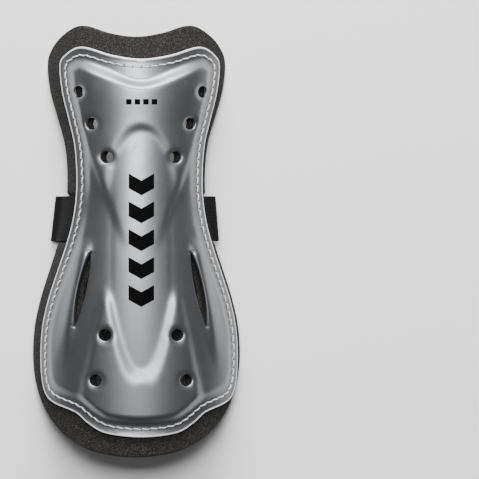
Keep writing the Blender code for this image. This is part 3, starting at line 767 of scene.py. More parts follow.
def tube(name: str, path: Array, radius: float, closed: bool, sides: int = 1) -> bpy.types.Mesh:
    """Round cord along a path, as a mesh.

    Args:
        name: the mesh's name.
        path: its points.
        radius: half its thickness.
        closed: whether its end meets its start.
        sides: the curve's bevel resolution.

    Returns:
        The mesh.
    """
    curve = bpy.data.curves.new(name, "CURVE")
    curve.dimensions = "3D"
    curve.bevel_depth = radius
    curve.bevel_resolution = sides
    curve.use_fill_caps = not closed
    spline = curve.splines.new("POLY")
    spline.points.add(len(path) - 1)
    spline.points.foreach_set("co", np.column_stack((path, np.ones(len(path)))).ravel())
    spline.use_cyclic_u = closed
    carrier = bpy.data.objects.new(name, curve)
    bpy.context.scene.collection.objects.link(carrier)
    bpy.context.view_layer.update()
    mesh = bpy.data.meshes.new_from_object(carrier.evaluated_get(bpy.context.evaluated_depsgraph_get()))
    mesh.name = name
    bpy.data.objects.remove(carrier)
    mesh.shade_smooth()
    return mesh


def joined(name: str, meshes: Iterable[bpy.types.Mesh]) -> bpy.types.Mesh:
    """Put several meshes into one."""
    form = bmesh.new()
    for mesh in meshes:
        form.from_mesh(mesh)
        bpy.data.meshes.remove(mesh)
    whole = mesh_of(name, form)
    whole.shade_smooth()
    return whole


# ---------------------------------------------------------------- shell, pad and seam


@dataclass
class Seam:
    """Lock-stitched seam round the shell: the needle holes and both threads."""

    form: LegForm
    inset: float = 4.5 * MM
    pitch: float = 4.6 * MM
    hole_radius: float = 0.8 * MM
    thread_radius: float = 0.40 * MM
    slant: float = 0.22 * MM
    hole_depth: float = 1.5 * MM
    stitch_form: tuple[tuple[float, float, float], ...] = (
        (0.0, 0.0, 0.0), (0.06, 0.25, 0.1), (0.13, 0.75, 0.7), (0.22, 1.0, 1.0),
        (0.5, 1.03, 0.0), (0.78, 1.0, -1.0), (0.87, 0.75, -0.7), (0.94, 0.25, -0.1))

    def line(self) -> Array:
        """The seam's run, flat and finely spaced."""
        return spaced(inset(self.form.shell_outline(), self.inset), 0.25 * MM)

    def holes(self) -> Array:
        """Where the needle went through."""
        return spaced(self.line(), self.pitch)

    def stitch_path(self, top: float, turn: float, dip: float) -> Array:
        """Path of one thread.

        Args:
            top: height of the thread's middle over the face it lies on.
            turn: 1 for the needle thread, -1 for the thread behind the pad.
            dip: height of the thread's middle inside a hole.

        Returns:
            Flat places, from hole to hole.
        """
        holes = self.holes()
        step = np.roll(holes, -1, axis=0) - holes
        ahead = step / np.linalg.norm(step, axis=1)[:, None]
        sideways = np.column_stack((-ahead[:, 1], ahead[:, 0]))
        rows = []
        for share, rise, aside in self.stitch_form:
            place = holes + step * share + sideways * aside * self.slant
            rows.append(np.column_stack((place, np.full(len(holes), dip + turn * rise * abs(top - dip)))))
        return np.stack(rows, axis=1).reshape(-1, 3)

    def make(self, shell_top: float, pad_back: float) -> None:
        """Build both threads.

        Args:
            shell_top: height of the flange's face.
            pad_back: height of the pad's face on the leg side, where the seam pulls it in.
        """
        finish = Thread("white_thread", (0.82, 0.82, 0.81), (0.45, 0.45, 0.45)).make()
        for name, node, top, turn in (
            ("needle_thread", "seam_needle_thread", shell_top + self.thread_radius * 0.8, 1),
            ("bobbin_thread", "seam_bobbin_thread", pad_back - self.thread_radius * 0.4, -1),
        ):
            flat = self.stitch_path(top, turn, top - turn * self.hole_depth)
            path = self.form.bend(flat, self.form.shell_offset)
            piece = add_piece(name, tube(name, path, self.thread_radius, True), finish, "white_thread")
            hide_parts(node)
            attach(piece, Body.GUARD.value)


@dataclass
class Shell:
    """Moulded shell with its relief, vents, louvres and needle holes."""

    form: LegForm
    seam: Seam
    gap: float = 0.3 * MM
    thickness: float = 1.8 * MM
    edge_radius: float = 0.7 * MM
    lip: float = 0.45 * MM
    lip_width: float = 1.3 * MM
    flange: float = 6.0 * MM
    rise: tuple[float, float] = (1.4 * MM, 3.2 * MM)
    side_slope: float = 5.5 * MM
    ankle_slope: float = 7.0 * MM
    ankle_dip: float = 5.0 * MM
    ankle_dip_half: float = 16.0 * MM
    ankle_blend: tuple[float, float] = (60.0 * MM, 90.0 * MM)
    ankle_spread: tuple[float, float] = (26.0 * MM, 46.0 * MM)
    channel_half: float = 17.0 * MM
    arch: tuple[float, float, float] = (22.0 * MM, 38.5 * MM, 1.3 * MM)
    arch_wall: float = 5.0 * MM
    arch_blend: tuple[float, float] = (15.0 * MM, 40.0 * MM)
    tail: tuple[float, float, float] = (-23.0 * MM, 47.0 * MM, 1.7 * MM)
    tail_wall: tuple[float, float] = (4.5 * MM, 9.0 * MM)
    tail_blend: float = 12.0 * MM
    groove_depth: float = 0.22 * MM
    groove_half: float = 0.8 * MM
    groove_low: tuple[float, float] = (-36.0 * MM, -20.0 * MM)
    groove_high: tuple[float, float] = (20.0 * MM, 34.0 * MM)
    softness: float = 1.1 * MM
    dome_spread: float = 0.206
    dome_fall: float = 7.0 * MM
    crease_top: tuple[float, float] = (31.0 * MM, 58.0 * MM)
    crease_foot: tuple[float, float] = (18.0 * MM, 24.0 * MM)
    crease_depth: float = 1.3 * MM
    crease_wall: tuple[float, float] = (-4.0 * MM, 1.0 * MM)
    crease_high: tuple[float, float] = (50.0 * MM, 74.0 * MM)
    crease_low: tuple[float, float] = (-10.0 * MM, 26.0 * MM)
    vent_radius: float = 3.2 * MM
    dish_radius: float = 5.4 * MM
    dish_depth: float = 0.8 * MM
    vents: tuple[tuple[float, float], ...] = (
        (34.4 * MM, 82.7 * MM), (27.7 * MM, 65.0 * MM), (19.4 * MM, 46.4 * MM),
        (20.0 * MM, -51.9 * MM), (25.1 * MM, -76.9 * MM))
    slot_top: tuple[float, float] = (28.3 * MM, -5.9 * MM)
    slot_foot: tuple[float, float] = (37.0 * MM, -47.4 * MM)
    slot_width: float = 3.6 * MM
    fin_rise: float = 2.4 * MM
    fin_wall: tuple[float, float] = (-1.0 * MM, 1.8 * MM)
    fin_back: tuple[float, float] = (2.5 * MM, 11.0 * MM)
    fin_lead: tuple[float, float] = (-9.0 * MM, 3.0 * MM)
    fin_fade: float = 0.6
    fin_trail: float = 28.0 * MM
    cell: float = 1.15 * MM

    def lens(self, length: float, width: float, count: int) -> list[Array]:
        """Pointed outlines about the middle of both louvre slots, flat."""
        top, foot = np.array(self.slot_top), np.array(self.slot_foot)
        ahead = (foot - top) / np.linalg.norm(foot - top)
        points = []
        for side in (1, -1):
            for t in np.arange(count) / count:
                out = side * 0.5 * width * math.sin(math.pi * t) ** 0.8
                points.append((top + foot) / 2 + ahead * side * (0.5 - t) * length
                              + np.array((-ahead[1], ahead[0])) * out)
        right = np.array([(float(self.form.to_flat(x, y, self.form.feature_height)), y) for x, y in points])
        return [right, (right * (-1, 1))[::-1]]

    def vent_loops(self, radius: float, count: int) -> list[Array]:
        """Round holes at the vents, flat."""
        angles = np.linspace(0, math.tau, count, endpoint=False)
        ring = np.column_stack((np.cos(angles), np.sin(angles))) * radius
        height = self.form.feature_height
        return [ring + (side * float(self.form.to_flat(x, y, height)), y)
                for x, y in self.vents for side in (1, -1)]

    @staticmethod
    def wall_rise(level: Array, gradient: Array, width: Number) -> Array:
        """Smooth rise of 0 to 1 over a width, outwards from where a form's level is 0."""
        return ease(level / (np.maximum(gradient, 1.0) * width), 0, 1)

    def relief(self, places: Array, edge: Array) -> Array:
        """Height of the moulded form over the flange, softened as a moulded sheet is.

        Args:
            places: flat places, in rows of (s, y).
            edge: their distance from the shell's edge.

        Returns:
            The heights.
        """
        total = self.sharp_relief(places, edge) * 2.0
        angles = np.linspace(0, math.tau, 6, endpoint=False)
        for reach, share in ((0.8, 1.0), (1.6, 0.5)):
            for angle in angles + reach:
                step = np.array((math.cos(angle), math.sin(angle))) * reach * self.softness
                total = total + self.sharp_relief(places + step, edge) * share
        return total / 11.0

    def sharp_relief(self, places: Array, edge: Array) -> Array:
        """The moulded form before softening."""
        y = places[:, 1]
        x = np.abs(self.form.to_front(places[:, 0], y, self.form.feature_height))
        ankle = ease(y, *self.ankle_blend)
        start = self.flange + self.ankle_dip * np.exp(-((x / self.ankle_dip_half) ** 2)) * ankle
        lift = ease((edge - start) / (self.side_slope + (self.ankle_slope - self.side_slope) * ankle), 0, 1)
        height = self.rise[0] + (self.rise[1] - self.rise[0]) * ankle * (1 - ease(x, *self.ankle_spread))

        start, reach, depth = self.arch
        up = np.maximum(y - start, 0)
        outside = (x / self.channel_half) ** 2 + (up / reach) ** 2 - 1
        gradient = np.hypot(2 * x / self.channel_half**2, 2 * up / reach**2)
        bowl = self.wall_rise(outside, gradient, self.arch_wall)
        height = height + depth * bowl * ease(y, *self.arch_blend)

        start, reach, depth = self.tail
        down = np.maximum(start - y, 0)
        outside = (x / self.channel_half) ** 2 + down / reach - 1
        gradient = np.hypot(2 * x / self.channel_half**2, 1 / reach)
        nearness = np.clip(1 - x / self.channel_half, 0, 1)
        wall = self.tail_wall[0] + (self.tail_wall[1] - self.tail_wall[0]) * nearness
        dome = self.wall_rise(outside, gradient, wall) * ease(down, 0, self.tail_blend)
        side = self.channel_half + self.dome_spread * down
        height += depth * dome * (1 - ease(x - side, 0, self.dome_fall))

        (top_x, top_y), (foot_x, foot_y) = self.crease_top, self.crease_foot
        across, up = top_x - foot_x, top_y - foot_y
        inner = (across * (y - foot_y) - up * (x - foot_x)) / math.hypot(across, up)
        fade = (1 - ease(y, *self.crease_high)) * ease(y, *self.crease_low)
        height -= self.crease_depth * (1 - ease(inner, *self.crease_wall)) * fade

        length = math.dist(self.slot_top, self.slot_foot)
        ux = (self.slot_foot[0] - self.slot_top[0]) / length
        uy = (self.slot_foot[1] - self.slot_top[1]) / length
        t = (x - self.slot_top[0]) * ux + (y - self.slot_top[1]) * uy
        v = -(x - self.slot_top[0]) * uy + (y - self.slot_top[1]) * ux
        fin = ease(v, *self.fin_wall) * (1 - ease(v, *self.fin_back)) * ease(t, *self.fin_lead)
        height += self.fin_rise * fin * (1 - ease(t, length * self.fin_fade, length + self.fin_trail))

        line = np.exp(-(((x - self.channel_half) / self.groove_half) ** 2))
        height -= self.groove_depth * line * ease(y, *self.groove_low) * (1 - ease(y, *self.groove_high))

        for vent_x, vent_y in self.vents:
            away = np.hypot(x - vent_x, y - vent_y)
            height -= self.dish_depth * (1 - ease(away, self.vent_radius, self.dish_radius))
        return np.maximum(height * lift, 0)

    def make(self) -> None:
        """Build the shell."""
        outline = self.form.shell_outline()
        cuts = self.vent_loops(self.vent_radius, 36)
        cuts += self.lens(math.dist(self.slot_top, self.slot_foot), self.slot_width, 30)
        angles = np.linspace(0, math.tau, 8, endpoint=False)
        prick = np.column_stack((np.cos(angles), np.sin(angles))) * self.seam.hole_radius
        pricks = [prick + hole for hole in self.seam.holes()]
        mesh, upper = FlatSheet(outline, cuts + pricks, self.cell).build("moulded_shell")
        flat = get_points(mesh)
        edge = loop_distance(flat[:, :2], outline)
        lip = self.lip * np.exp(-((edge / self.lip_width) ** 2))
        base = self.gap + self.relief(flat[:, :2], edge) + lip
        rounding = edge_rounding(flat[:, :2], [outline, *cuts], self.edge_radius)
        flat[:, 2] = base + np.where(upper, self.thickness - rounding, rounding * 0.4)
        set_points(mesh, self.form.bend(flat, self.form.shell_offset))
        store(mesh, "rim", edge)
        store(mesh, "across", self.form.to_front(flat[:, 0], flat[:, 1], self.form.feature_height))
        store(mesh, "front", upper.astype(float))
        close_normals(mesh, 50)
        piece = add_piece("moulded_shell", mesh, SilverPlastic().make(), "silver_plastic")
        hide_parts("shell")
        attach(piece, Body.GUARD.value)


@dataclass
class Pad:
    """Die-cut foam pad with vents, windows behind the louvres and pressed-down strap seats."""

    form: LegForm
    shell: Shell
    thickness: float = 4.0 * MM
    edge_radius: float = 0.8 * MM
    window: tuple[float, float] = (15.0 * MM, 3.0 * MM)
    strap_press: float = 1.8 * MM
    strap_span: tuple[float, float] = (0.0, 25.0 * MM)
    strap_depth: float = 14.5 * MM
    strap_blend: float = 2.0 * MM
    seam_pull: float = 0.7 * MM
    seam_reach: float = 1.8 * MM
    thread_seat: float = 0.6 * MM
    cell: float = 1.3 * MM
    rings: tuple[float, ...] = (0.2 * MM, 0.5 * MM, 0.9 * MM)

    def strap_mask(self, flat: Array) -> Array:
        """1 where the strap presses the foam down."""
        low, high = self.strap_span
        middle = (low + high) / 2
        start = float(self.form.to_flat(self.form.half_width(middle), middle)) - self.strap_depth
        side = self.strap_blend * 0.8
        across = ease(flat[:, 1], low - side, low) * (1 - ease(flat[:, 1], high, high + side))
        return across * ease(np.abs(flat[:, 0]), start - self.strap_blend, start)

    def make(self) -> None:
        """Build the pad."""
        outline = self.form.pad_outline()
        cuts = self.shell.vent_loops(self.shell.vent_radius, 32) + self.shell.lens(*self.window, 14)
        cuts = [loop + (self.form.shell_offset, 0) for loop in cuts]
        mesh, upper = FlatSheet(outline, cuts, self.cell, self.rings).build("foam_backing")
        flat = get_points(mesh)
        rounding = edge_rounding(flat[:, :2], [outline, *cuts], self.edge_radius)
        seam = loop_distance(flat[:, :2], self.shell.seam.line()[::6] + (self.form.shell_offset, 0))
        pulled = self.seam_pull * np.exp(-((seam / self.seam_reach) ** 2))
        top = -rounding - self.strap_press * self.strap_mask(flat)
        back = -self.thickness + rounding + pulled
        flat[:, 2] = np.where(upper, top, back)
        set_points(mesh, self.form.bend(flat))
        close_normals(mesh, 60)
        piece = add_piece("foam_backing", mesh, Foam().make(), "black_foam")
        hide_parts("foam_pad")
        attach(piece, Body.GUARD.value)


# ---------------------------------------------------------------- strap, tab and closure


def bezier(start: Array, out: Array, end: Array, away: Array, t: Array) -> tuple[Array, Array]:
    """Places and downward slopes of a smooth run, which leaves and arrives in given directions."""
    span = np.linalg.norm(end - start, axis=1)[:, None] / 3
    a, b, c = start, start + out * span, end - away * span
    t = t[:, None]
    place = a * (1 - t) ** 3 + b * 3 * t * (1 - t) ** 2 + c * 3 * t**2 * (1 - t) + end * t**3
    ahead = (b - a) * (1 - t) ** 2 + (c - b) * 2 * t * (1 - t) + (end - c) * t**2
    return place, np.arctan2(-ahead[:, 1], ahead[:, 0])


def heading(slope: Array) -> Array:
    """Direction of a downward slope."""
    return np.column_stack((np.cos(slope), -np.sin(slope)))


@dataclass(frozen=True)
class Fold:
    """A fold of the webbing about a joint's axis, on the right-hand side.

    The marks are the shares of the webbing's length at which it leaves the shell, meets the fold and leaves
    it again. Between the lean marks its far edge runs ahead of its near one.
    """

    axis: tuple[float, float]
    arm: float
    slope: float
    marks: tuple[float, float, float]
    lean_in: tuple[float, float]
    lean_out: tuple[float, float]
    slant: float

    def end(self) -> Array:
        """Where the sewn stretch arrives."""
        return np.array((self.axis[0] + self.arm * math.sin(self.slope),
                         self.axis[1] + self.arm * math.cos(self.slope)))

    def turn(self, t: Array) -> tuple[Array, Array]:
        """Round the axis, from the sewn stretch to the stretch behind the leg."""
        slope = self.slope + (math.pi - self.slope) * t
        place = np.column_stack((self.axis[0] + self.arm * np.sin(slope),
                                 self.axis[1] + self.arm * np.cos(slope)))
        return place, slope


Run = Callable[[Array], tuple[Array, Array]]
Path = Callable[[Array, Array], tuple[Array, Array]]


@dataclass
class Webbing:
    """Ribbed elastic, laid along a path in the plane across the shin."""

    form: LegForm
    width: float = 25.0 * MM
    middle: float = 12.5 * MM
    thickness: float = 1.6 * MM
    rib: float = 1.0 * MM
    rib_height: float = 0.10 * MM
    selvedge: float = 0.5 * MM
    selvedge_round: float = 0.9
    sewn_depth: float = 14.0 * MM
    across_cells: int = 100

    def section(self, rows: Array) -> Array:
        """Height of each row's place over the middle of the thickness."""
        y = rows[:, 1] * self.width / 2
        inward = np.clip(1 - (self.width / 2 - np.abs(y)) / self.selvedge, 0, 1)
        body = (self.thickness / 2 - self.rib_height) * np.sqrt(1 - (inward * self.selvedge_round) ** 2)
        ribs = self.rib_height * np.cos(math.tau * y / self.rib) * (1 - inward)
        return rows[:, 2] * (body + ribs)

    def sewn(self, t: Array, y: Array) -> tuple[Array, Array]:
        """Stretch under the shell and over the pad's edge: (x, z) and slope, for t from 0 to 1."""
        start = float(self.form.to_flat(self.form.half_width(self.middle), self.middle)) - self.sewn_depth
        s = start + (self.form.to_flat(self.form.half_width(y), y) - start) * t
        place = self.form.bend(np.column_stack((s, y, np.full(len(s), -self.thickness / 2))))
        return place[:, (0, 2)], s / self.form.radius(y)

    def over_edge(self, fold: Fold, t: Array, y: Array, back: Run) -> tuple[Array, Array]:
        """Whole run of a webbing: sewn, over the pad's edge, round its fold and on behind the leg.

        Args:
            fold: its fold.
            t: places along it, 0 to 1.
            y: places along the shin.
            back: gives the places and slopes behind the leg, for 0 to 1.

        Returns:
            The middle's (x, z) and downward slopes.
        """
        sewn_end, fold_start, fold_end = fold.marks
        place, slope = self.sewn(np.clip(t / sewn_end, 0, 1), y)
        edge, edge_slope = self.sewn(np.ones(len(y)), y)
        end = np.repeat(fold.end()[None], len(y), axis=0)
        away = heading(np.full(len(y), fold.slope))
        share = np.clip((t - sewn_end) / (fold_start - sewn_end), 0, 1)
        for start, (new, new_slope) in (
            (sewn_end, bezier(edge, heading(edge_slope), end, away, share)),
            (fold_start, fold.turn(np.clip((t - fold_start) / (fold_end - fold_start), 0, 1))),
            (fold_end, back(np.clip((t - fold_end) / (1 - fold_end), 0, 1))),
        ):
            later = t >= start
            place = np.where(later[:, None], new, place)
            slope = np.where(later, new_slope, slope)
        lean = ease(t, *fold.lean_in) * (1 - ease(t, *fold.lean_out))
        place[:, 0] += fold.slant * (self.middle - y) * lean
        return place, slope

    def band(self, name: str, cells: int, path: Path, side: Side, reach: tuple[float, float],
             finish: bpy.types.Material) -> bpy.types.Object:
        """Make a stretch of webbing.

        Args:
            name: the piece's name.
            cells: how many cells long it is.
            path: gives (x, z) and the downward slope for t from 0 to 1 and y, on the right-hand side.
            side: which side of the leg it is on.
            reach: distances along the webbing at its ends, for the weave.
            finish: its material.

        Returns:
            The piece.
        """
        def shape(rows: Array) -> Array:
            """Lay the rows along the path."""
            y = self.middle + rows[:, 1] * self.width / 2
            place, slope = path(rows[:, 0], y)
            out = self.section(rows)
            x = place[:, 0] + np.sin(slope) * out
            return np.column_stack((side.value * x, y, place[:, 1] + np.cos(slope) * out))

        mesh, rows = slab(name, (cells, self.across_cells), shape)
        store(mesh, "along", reach[0] + rows[:, 0] * (reach[1] - reach[0]))
        store(mesh, "across", rows[:, 1] * self.width / 2)
        return add_piece(name, close_normals(mesh, 60), finish, "black_elastic")


@dataclass
class Strap:
    """Long strap on the left: sewn stretch, fold, run on the floor and the end with the hooks."""

    webbing: Webbing
    finish: bpy.types.Material
    joints: dict
    fold_gap: float = 1.0 * MM
    fold_slope: float = math.radians(30.0)
    slant: float = 0.11
    first_join: float = -38.0 * MM
    second_join: float = -14.0 * MM
    tip: float = 30.0 * MM
    hinge_half: float = 1.4 * MM
    stretch_margin: float = 1.0 * MM
    peel_half: float = 2.4 * MM
    weave_end: float = -26.0 * MM

    def fold(self) -> Fold:
        """The strap's fold, mirrored to the right."""
        x, _, z = self.joints["strap_fold"]["pos_m"]
        return Fold(
            axis=(-x, z), arm=self.fold_gap + self.webbing.thickness / 2, slope=self.fold_slope,
            marks=(0.4, 0.6, 0.85), lean_in=(0.42, 0.6), lean_out=(0.75, 0.97), slant=self.slant)

    def first_path(self, t: Array, y: Array) -> tuple[Array, Array]:
        """Sewn stretch, run to the fold, fold and first stretch on the floor."""
        fold = self.fold()

        def floor(share: Array) -> tuple[Array, Array]:
            """On the floor, up to the first join."""
            x = fold.axis[0] + (-self.first_join - fold.axis[0]) * share
            return np.column_stack((x, np.full(len(t), fold.axis[1] - fold.arm))), np.full(len(t), math.pi)

        return self.webbing.over_edge(fold, t, y, floor)

    def straight(self, start: float, end: float) -> Path:
        """A run on the floor between two places across the guard."""
        fold = self.fold()

        def path(t: Array, y: Array) -> tuple[Array, Array]:
            """Middle of the run."""
            x = start + (end - start) * t
            return np.column_stack((x, np.full(len(t), fold.axis[1] - fold.arm))), np.zeros(len(t))

        return path

    def make(self) -> None:
        """Build the three stretches; the first is laid round the fold."""
        web, middle, height = self.webbing, self.webbing.middle, self.fold().axis[1]
        joins = (self.first_join, self.second_join, self.tip)
        first = web.band("strap_fold_stretch", 70, self.first_path, Side.LEFT, (0.0, self.weave_end),
                         self.finish)
        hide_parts("strap_sewn_end")
        height + self.hinge_half
        height - self.hinge_half
        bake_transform(first)
        run = web.band("strap_stretch_run", 30, self.straight(*joins[:2]), Side.RIGHT, joins[:2],
                       self.finish)
        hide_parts("strap_elastic_run")
        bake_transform(run)
        last = web.band("strap_hook_stretch", 50, self.straight(*joins[1:]), Side.RIGHT, joins[1:],
                        self.finish)
        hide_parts("strap_lead", "strap_hook_end")
        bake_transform(last)


@dataclass
class Tab:
    """Short tab on the right: sewn stretch, fold and the run that carries the loops."""

    webbing: Webbing
    finish: bpy.types.Material
    joints: dict
    fold_gap: float = 0.5 * MM
    fold_slope: float = math.radians(55.0)
    slant: float = 0.08
    landing: float = 29.0 * MM
    easing: float = 2.5 * MM
    level: float = 5.8 * MM
    tip: float = -4.0 * MM
    length: float = 62.0 * MM
    hinge: tuple[float, float] = (0.9 * MM, -0.5 * MM)

    def fold(self) -> Fold:
        """The tab's fold."""
        x, _, z = self.joints["tab_fold"]["pos_m"]
        return Fold(
            axis=(x, z), arm=self.fold_gap + self.webbing.thickness / 2, slope=self.fold_slope,
            marks=(0.3, 0.38, 0.55), lean_in=(0.31, 0.38), lean_out=(0.5, 0.62), slant=self.slant)

    def back_run(self) -> Array:
        """Middle of the run behind the leg, from the fold to the tip, finely spaced."""
        fold = self.fold()
        top = fold.axis[1] - fold.arm
        knots = [(fold.axis[0], top), (fold.axis[0] - self.easing, top - 0.15 * MM),
                 (self.landing + self.easing, self.level + 0.4 * MM), (self.landing - 1 * MM, self.level),
                 (self.landing - 8 * MM, self.level), (self.tip, self.level)]
        return np.array(smooth_through(knots, 0.5 * MM))

    def path(self, t: Array, y: Array) -> tuple[Array, Array]:
        """The whole tab."""
        middle = self.back_run()
        reach = np.concatenate(([0.0], np.cumsum(np.linalg.norm(np.diff(middle, axis=0), axis=1))))
        tilt = np.gradient(middle[:, 1], reach)

        def back(share: Array) -> tuple[Array, Array]:
            """Behind the leg."""
            at = share * reach[-1]
            place = np.column_stack([np.interp(at, reach, middle[:, i]) for i in (0, 1)])
            return place, math.pi + np.arcsin(np.interp(at, reach, tilt))

        return self.webbing.over_edge(self.fold(), t, y, back)

    def make(self) -> None:
        """Build the tab, laid round its fold."""
        web, height = self.webbing, self.fold().axis[1]
        piece = web.band("tab_stretch", 120, self.path, Side.RIGHT, (0.0, self.length), self.finish)
        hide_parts("tab_sewn_end", "tab_run")
        height + self.hinge[0]
        height + self.hinge[1]
        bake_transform(piece)


@dataclass
class Closure:
    """Hook and loop patches and the threads that hold them."""

    middle: float = 12.5 * MM
    width: float = 22.0 * MM
    seam_inset: float = 1.6 * MM
    stitch: float = 2.6 * MM
    thread_radius: float = 0.22 * MM
    hook_pitch: float = 1.5 * MM
    hook_height: float = 1.0 * MM
    loop_pitch: float = 1.25 * MM
    loop_height: float = 0.58 * MM
    corner: float = 1.2 * MM
    rim: float = 0.15 * MM
    bare_margin: float = 0.8 * MM
    strand_radius: float = 0.09 * MM
    turn_spread: float = 0.5
    size_spread: tuple[float, float] = (0.85, 1.1)
    stitch_cover: tuple[float, float] = (0.08, 0.92)
    stitch_dip: float = 0.35 * MM
    stitch_form: tuple[tuple[float, float], ...] = ((0, 0), (0.12, 0.8), (0.5, 1.05), (0.88, 0.8), (1, 0))

    def tape(self, name: str, node: str) -> bpy.types.Mesh:
        """Ground cloth over a patch's box, with rounded corners."""
        low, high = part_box(node)
        form = bmesh.new()
        bmesh.ops.create_cube(form, size=1.0)
        for vert in form.verts:
            vert.co = [low[i] + (vert.co[i] + 0.5) * (high[i] - low[i]) for i in range(3)]
        upright = [e for e in form.edges if abs(e.verts[0].co.z - e.verts[1].co.z) > 0.1 * MM]
        bmesh.ops.bevel(form, geom=upright, offset=self.corner, segments=4, profile=0.5, affect="EDGES",
                        material=-1)
        rim = [e for e in form.edges if abs(e.verts[0].co.z - e.verts[1].co.z) < 0.01 * MM]
        bmesh.ops.bevel(form, geom=rim, offset=self.rim, segments=2, profile=0.5, affect="EDGES",
                        material=-1)
        return mesh_of(name, form)

    def pile(self, name: str, node: str, pitch: float, arch: Array, up: int, seed: int) -> bpy.types.Mesh:
        """Rows of small hooks or loops over a patch, inside its stitching.

        Args:
            name: the mesh's name.
            node: the patch they stand on.
            pitch: how far apart they are.
            arch: one hook's or loop's middle line, as (along, up).
            up: 1 if they stand on the upper face, -1 on the lower.
            seed: for their small random turns.

        Returns:
            The mesh.
        """
        low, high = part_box(node)
        drawn = np.random.default_rng(seed)
        inner = self.seam_inset + self.bare_margin
        line = np.column_stack((arch[:, 0], np.zeros(len(arch)), arch[:, 1]))
        strand = tube("strand", line, self.strand_radius, False, 0)
        form = bmesh.new()
        shape = get_points(strand)
        base = high[2] if up > 0 else low[2]
        for row, y in enumerate(np.arange(low[1] + inner, high[1] - inner, pitch)):
            for x in np.arange(low[0] + inner + (row % 2) * pitch / 2, high[0] - inner, pitch):
                turn = drawn.uniform(-self.turn_spread, self.turn_spread) + (math.pi if row % 2 else 0)
                first = len(form.verts)
                form.from_mesh(strand)
                form.verts.ensure_lookup_table()
                cos, sin = math.cos(turn), math.sin(turn)
                size = drawn.uniform(*self.size_spread)
                for vert, (u, v, w) in zip(form.verts[first:], shape):
                    vert.co = (x + (u * cos - v * sin) * size, y + (u * sin + v * cos) * size,
                               base + up * w * size)
        bpy.data.meshes.remove(strand)
        return close_normals(mesh_of(name, form), 60)

    def stitches(self, name: str, node: str, thread_z: float) -> bpy.types.Mesh:
        """Rectangle of separate stitches round a patch."""
        low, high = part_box(node)
        near, far = low[0] + self.seam_inset, high[0] - self.seam_inset
        half = self.width / 2 - self.seam_inset
        corners = np.array([(near, -half), (far, -half), (far, half), (near, half)]) + (0, self.middle)
        made = []
        for start, end in zip(corners, np.roll(corners, -1, axis=0)):
            count = max(1, round(float(np.linalg.norm(end - start)) / self.stitch))
            for i in range(count):
                a, b = (start + (end - start) * (i + share) / count for share in self.stitch_cover)
                rows = [(*(a + (b - a) * t), thread_z + (rise - 1) * self.stitch_dip)
                        for t, rise in self.stitch_form]
                made.append(tube("stitch", np.array(rows), self.thread_radius, False))
        return joined(name, made)

    def make(self) -> None:
        """Build both patches, their pile and their stitching."""
        hook = Tape("hook_tape", (0.010, 0.010, 0.011), (0.05, 0.05, 0.052), 0.7 * MM).make()
        loop = Tape("loop_tape", (0.012, 0.012, 0.013), (0.07, 0.07, 0.072), 0.5 * MM).make()
        black = Thread("black_thread", (0.035, 0.035, 0.036), (0.012, 0.012, 0.012)).make()
        height = self.hook_height
        crook = np.array([(0, -0.1 * MM), (0, height * 0.55), (0.08 * MM, height * 0.85),
                          (0.3 * MM, height), (0.5 * MM, height * 0.85), (0.52 * MM, height * 0.62)])
        angles = np.linspace(-0.15, math.pi + 0.15, 7)
        arch = np.column_stack((np.cos(angles) * 0.45 * MM, np.sin(angles) * self.loop_height))
        for name, node, finish, slot, body, shape, pitch, up, seed in (
            ("hook_tape", "hook_patch", hook, "hook_tape", Body.HOOK_END, crook, self.hook_pitch, 1, 7),
            ("loop_tape", "loop_patch", loop, "loop_tape", Body.TAB, arch, self.loop_pitch, -1, 11),
        ):
            meshes = [self.tape(name, node), self.pile(name + "_pile", node, pitch, shape, up, seed)]
            mesh = joined(name, meshes)
            mesh.set_sharp_from_angle(angle=math.radians(50))
            piece = add_piece(name, mesh, finish, slot)
            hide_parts(node)
            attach(piece, body.value)
        for name, node, patch, body in (
            ("hook_tape_stitches", "hook_patch_stitching", "hook_patch", Body.HOOK_END),
            ("loop_tape_stitches", "loop_patch_stitching", "loop_patch", Body.TAB),
        ):
            low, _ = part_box(node)
            piece = add_piece(name, self.stitches(name, patch, low[2] + self.thread_radius * 0.4), black,
                              "black_thread")
            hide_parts(node)
            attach(piece, body.value)


# ---------------------------------------------------------------- floor, light and camera


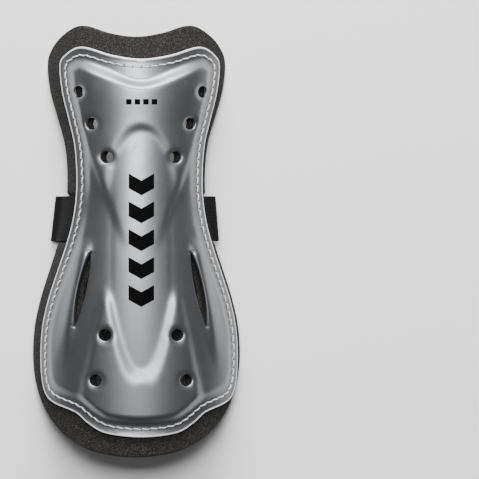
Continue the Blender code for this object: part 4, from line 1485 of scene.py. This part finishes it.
@dataclass
class Studio:
    """Pale floor, soft light from beyond the ankle end, and a camera that looks down on the guard."""

    view_width: float = 266.1 * MM
    aim: tuple[float, float, float] = (57.4 * MM, 0.9 * MM, 15.0 * MM)
    distance: float = 5.0
    sensor: float = 36.0
    floor_half: float = 3.0
    floor_drop: float = 0.2 * MM
    sky_strength: float = 0.12

    @staticmethod
    def light(name: str, place: tuple, size: tuple, power: float) -> None:
        """Add one soft box, aimed at the middle of the guard."""
        lamp = bpy.data.lights.new(name, "AREA")
        lamp.shape = "RECTANGLE"
        lamp.size, lamp.size_y = size
        lamp.energy = power
        holder = bpy.data.objects.new(name, lamp)
        holder.location = place
        holder.rotation_euler = (-Vector(place)).to_track_quat("-Z", "Y").to_euler()
        bpy.context.scene.collection.objects.link(holder)

    def make(self) -> None:
        """Build the floor, the lights and the camera."""
        form = bmesh.new()
        bmesh.ops.create_grid(form, x_segments=1, y_segments=1, size=self.floor_half)
        mesh = mesh_of("floor", form)
        floor = bpy.data.objects.new("floor", mesh)
        floor.location.z = -self.floor_drop
        bpy.context.scene.collection.objects.link(floor)
        graph = Graph("floor")
        mesh.materials.append(graph.finish(Base_Color=(0.92, 0.92, 0.92), Roughness=0.9))
        world = bpy.data.worlds.new("studio")
        world.use_nodes = True
        sky = world.node_tree.nodes["Background"]
        sky.inputs["Color"].default_value = (1.0, 1.0, 1.0, 1.0)
        sky.inputs["Strength"].default_value = self.sky_strength
        bpy.context.scene.world = world
        self.light("key", (0.0, 1.38, 0.72), (1.0, 0.9), 60.0)
        self.light("top", (0.0, 0.45, 1.6), (0.64, 0.62), 27.0)
        camera = bpy.data.cameras.new("camera")
        camera.sensor_width = self.sensor
        camera.lens = self.sensor * self.distance / self.view_width
        holder = bpy.data.objects.new("camera", camera)
        aim = Vector(self.aim)
        holder.location = aim + Vector((0, 0, self.distance))
        bpy.context.scene.collection.objects.link(holder)
        bpy.context.scene.camera = holder


def main() -> None:
    """Build every piece of the guard and its studio."""
    logging.basicConfig(level=logging.INFO, format="%(message)s")
    joints = {joint["name"]: joint for joint in frame["joints"]}
    Studio().make()
    form = LegForm()
    seam = Seam(form)
    shell = Shell(form, seam)
    pad = Pad(form, shell)
    shell.make()
    pad.make()
    seam.make(shell.gap + shell.thickness, -pad.thickness + pad.thread_seat)
    webbing = Webbing(form)
    elastic = Elastic().make()
    Strap(webbing, elastic, joints).make()
    Tab(webbing, elastic, joints).make()
    Closure().make()


if __name__ == "__main__":
    main()
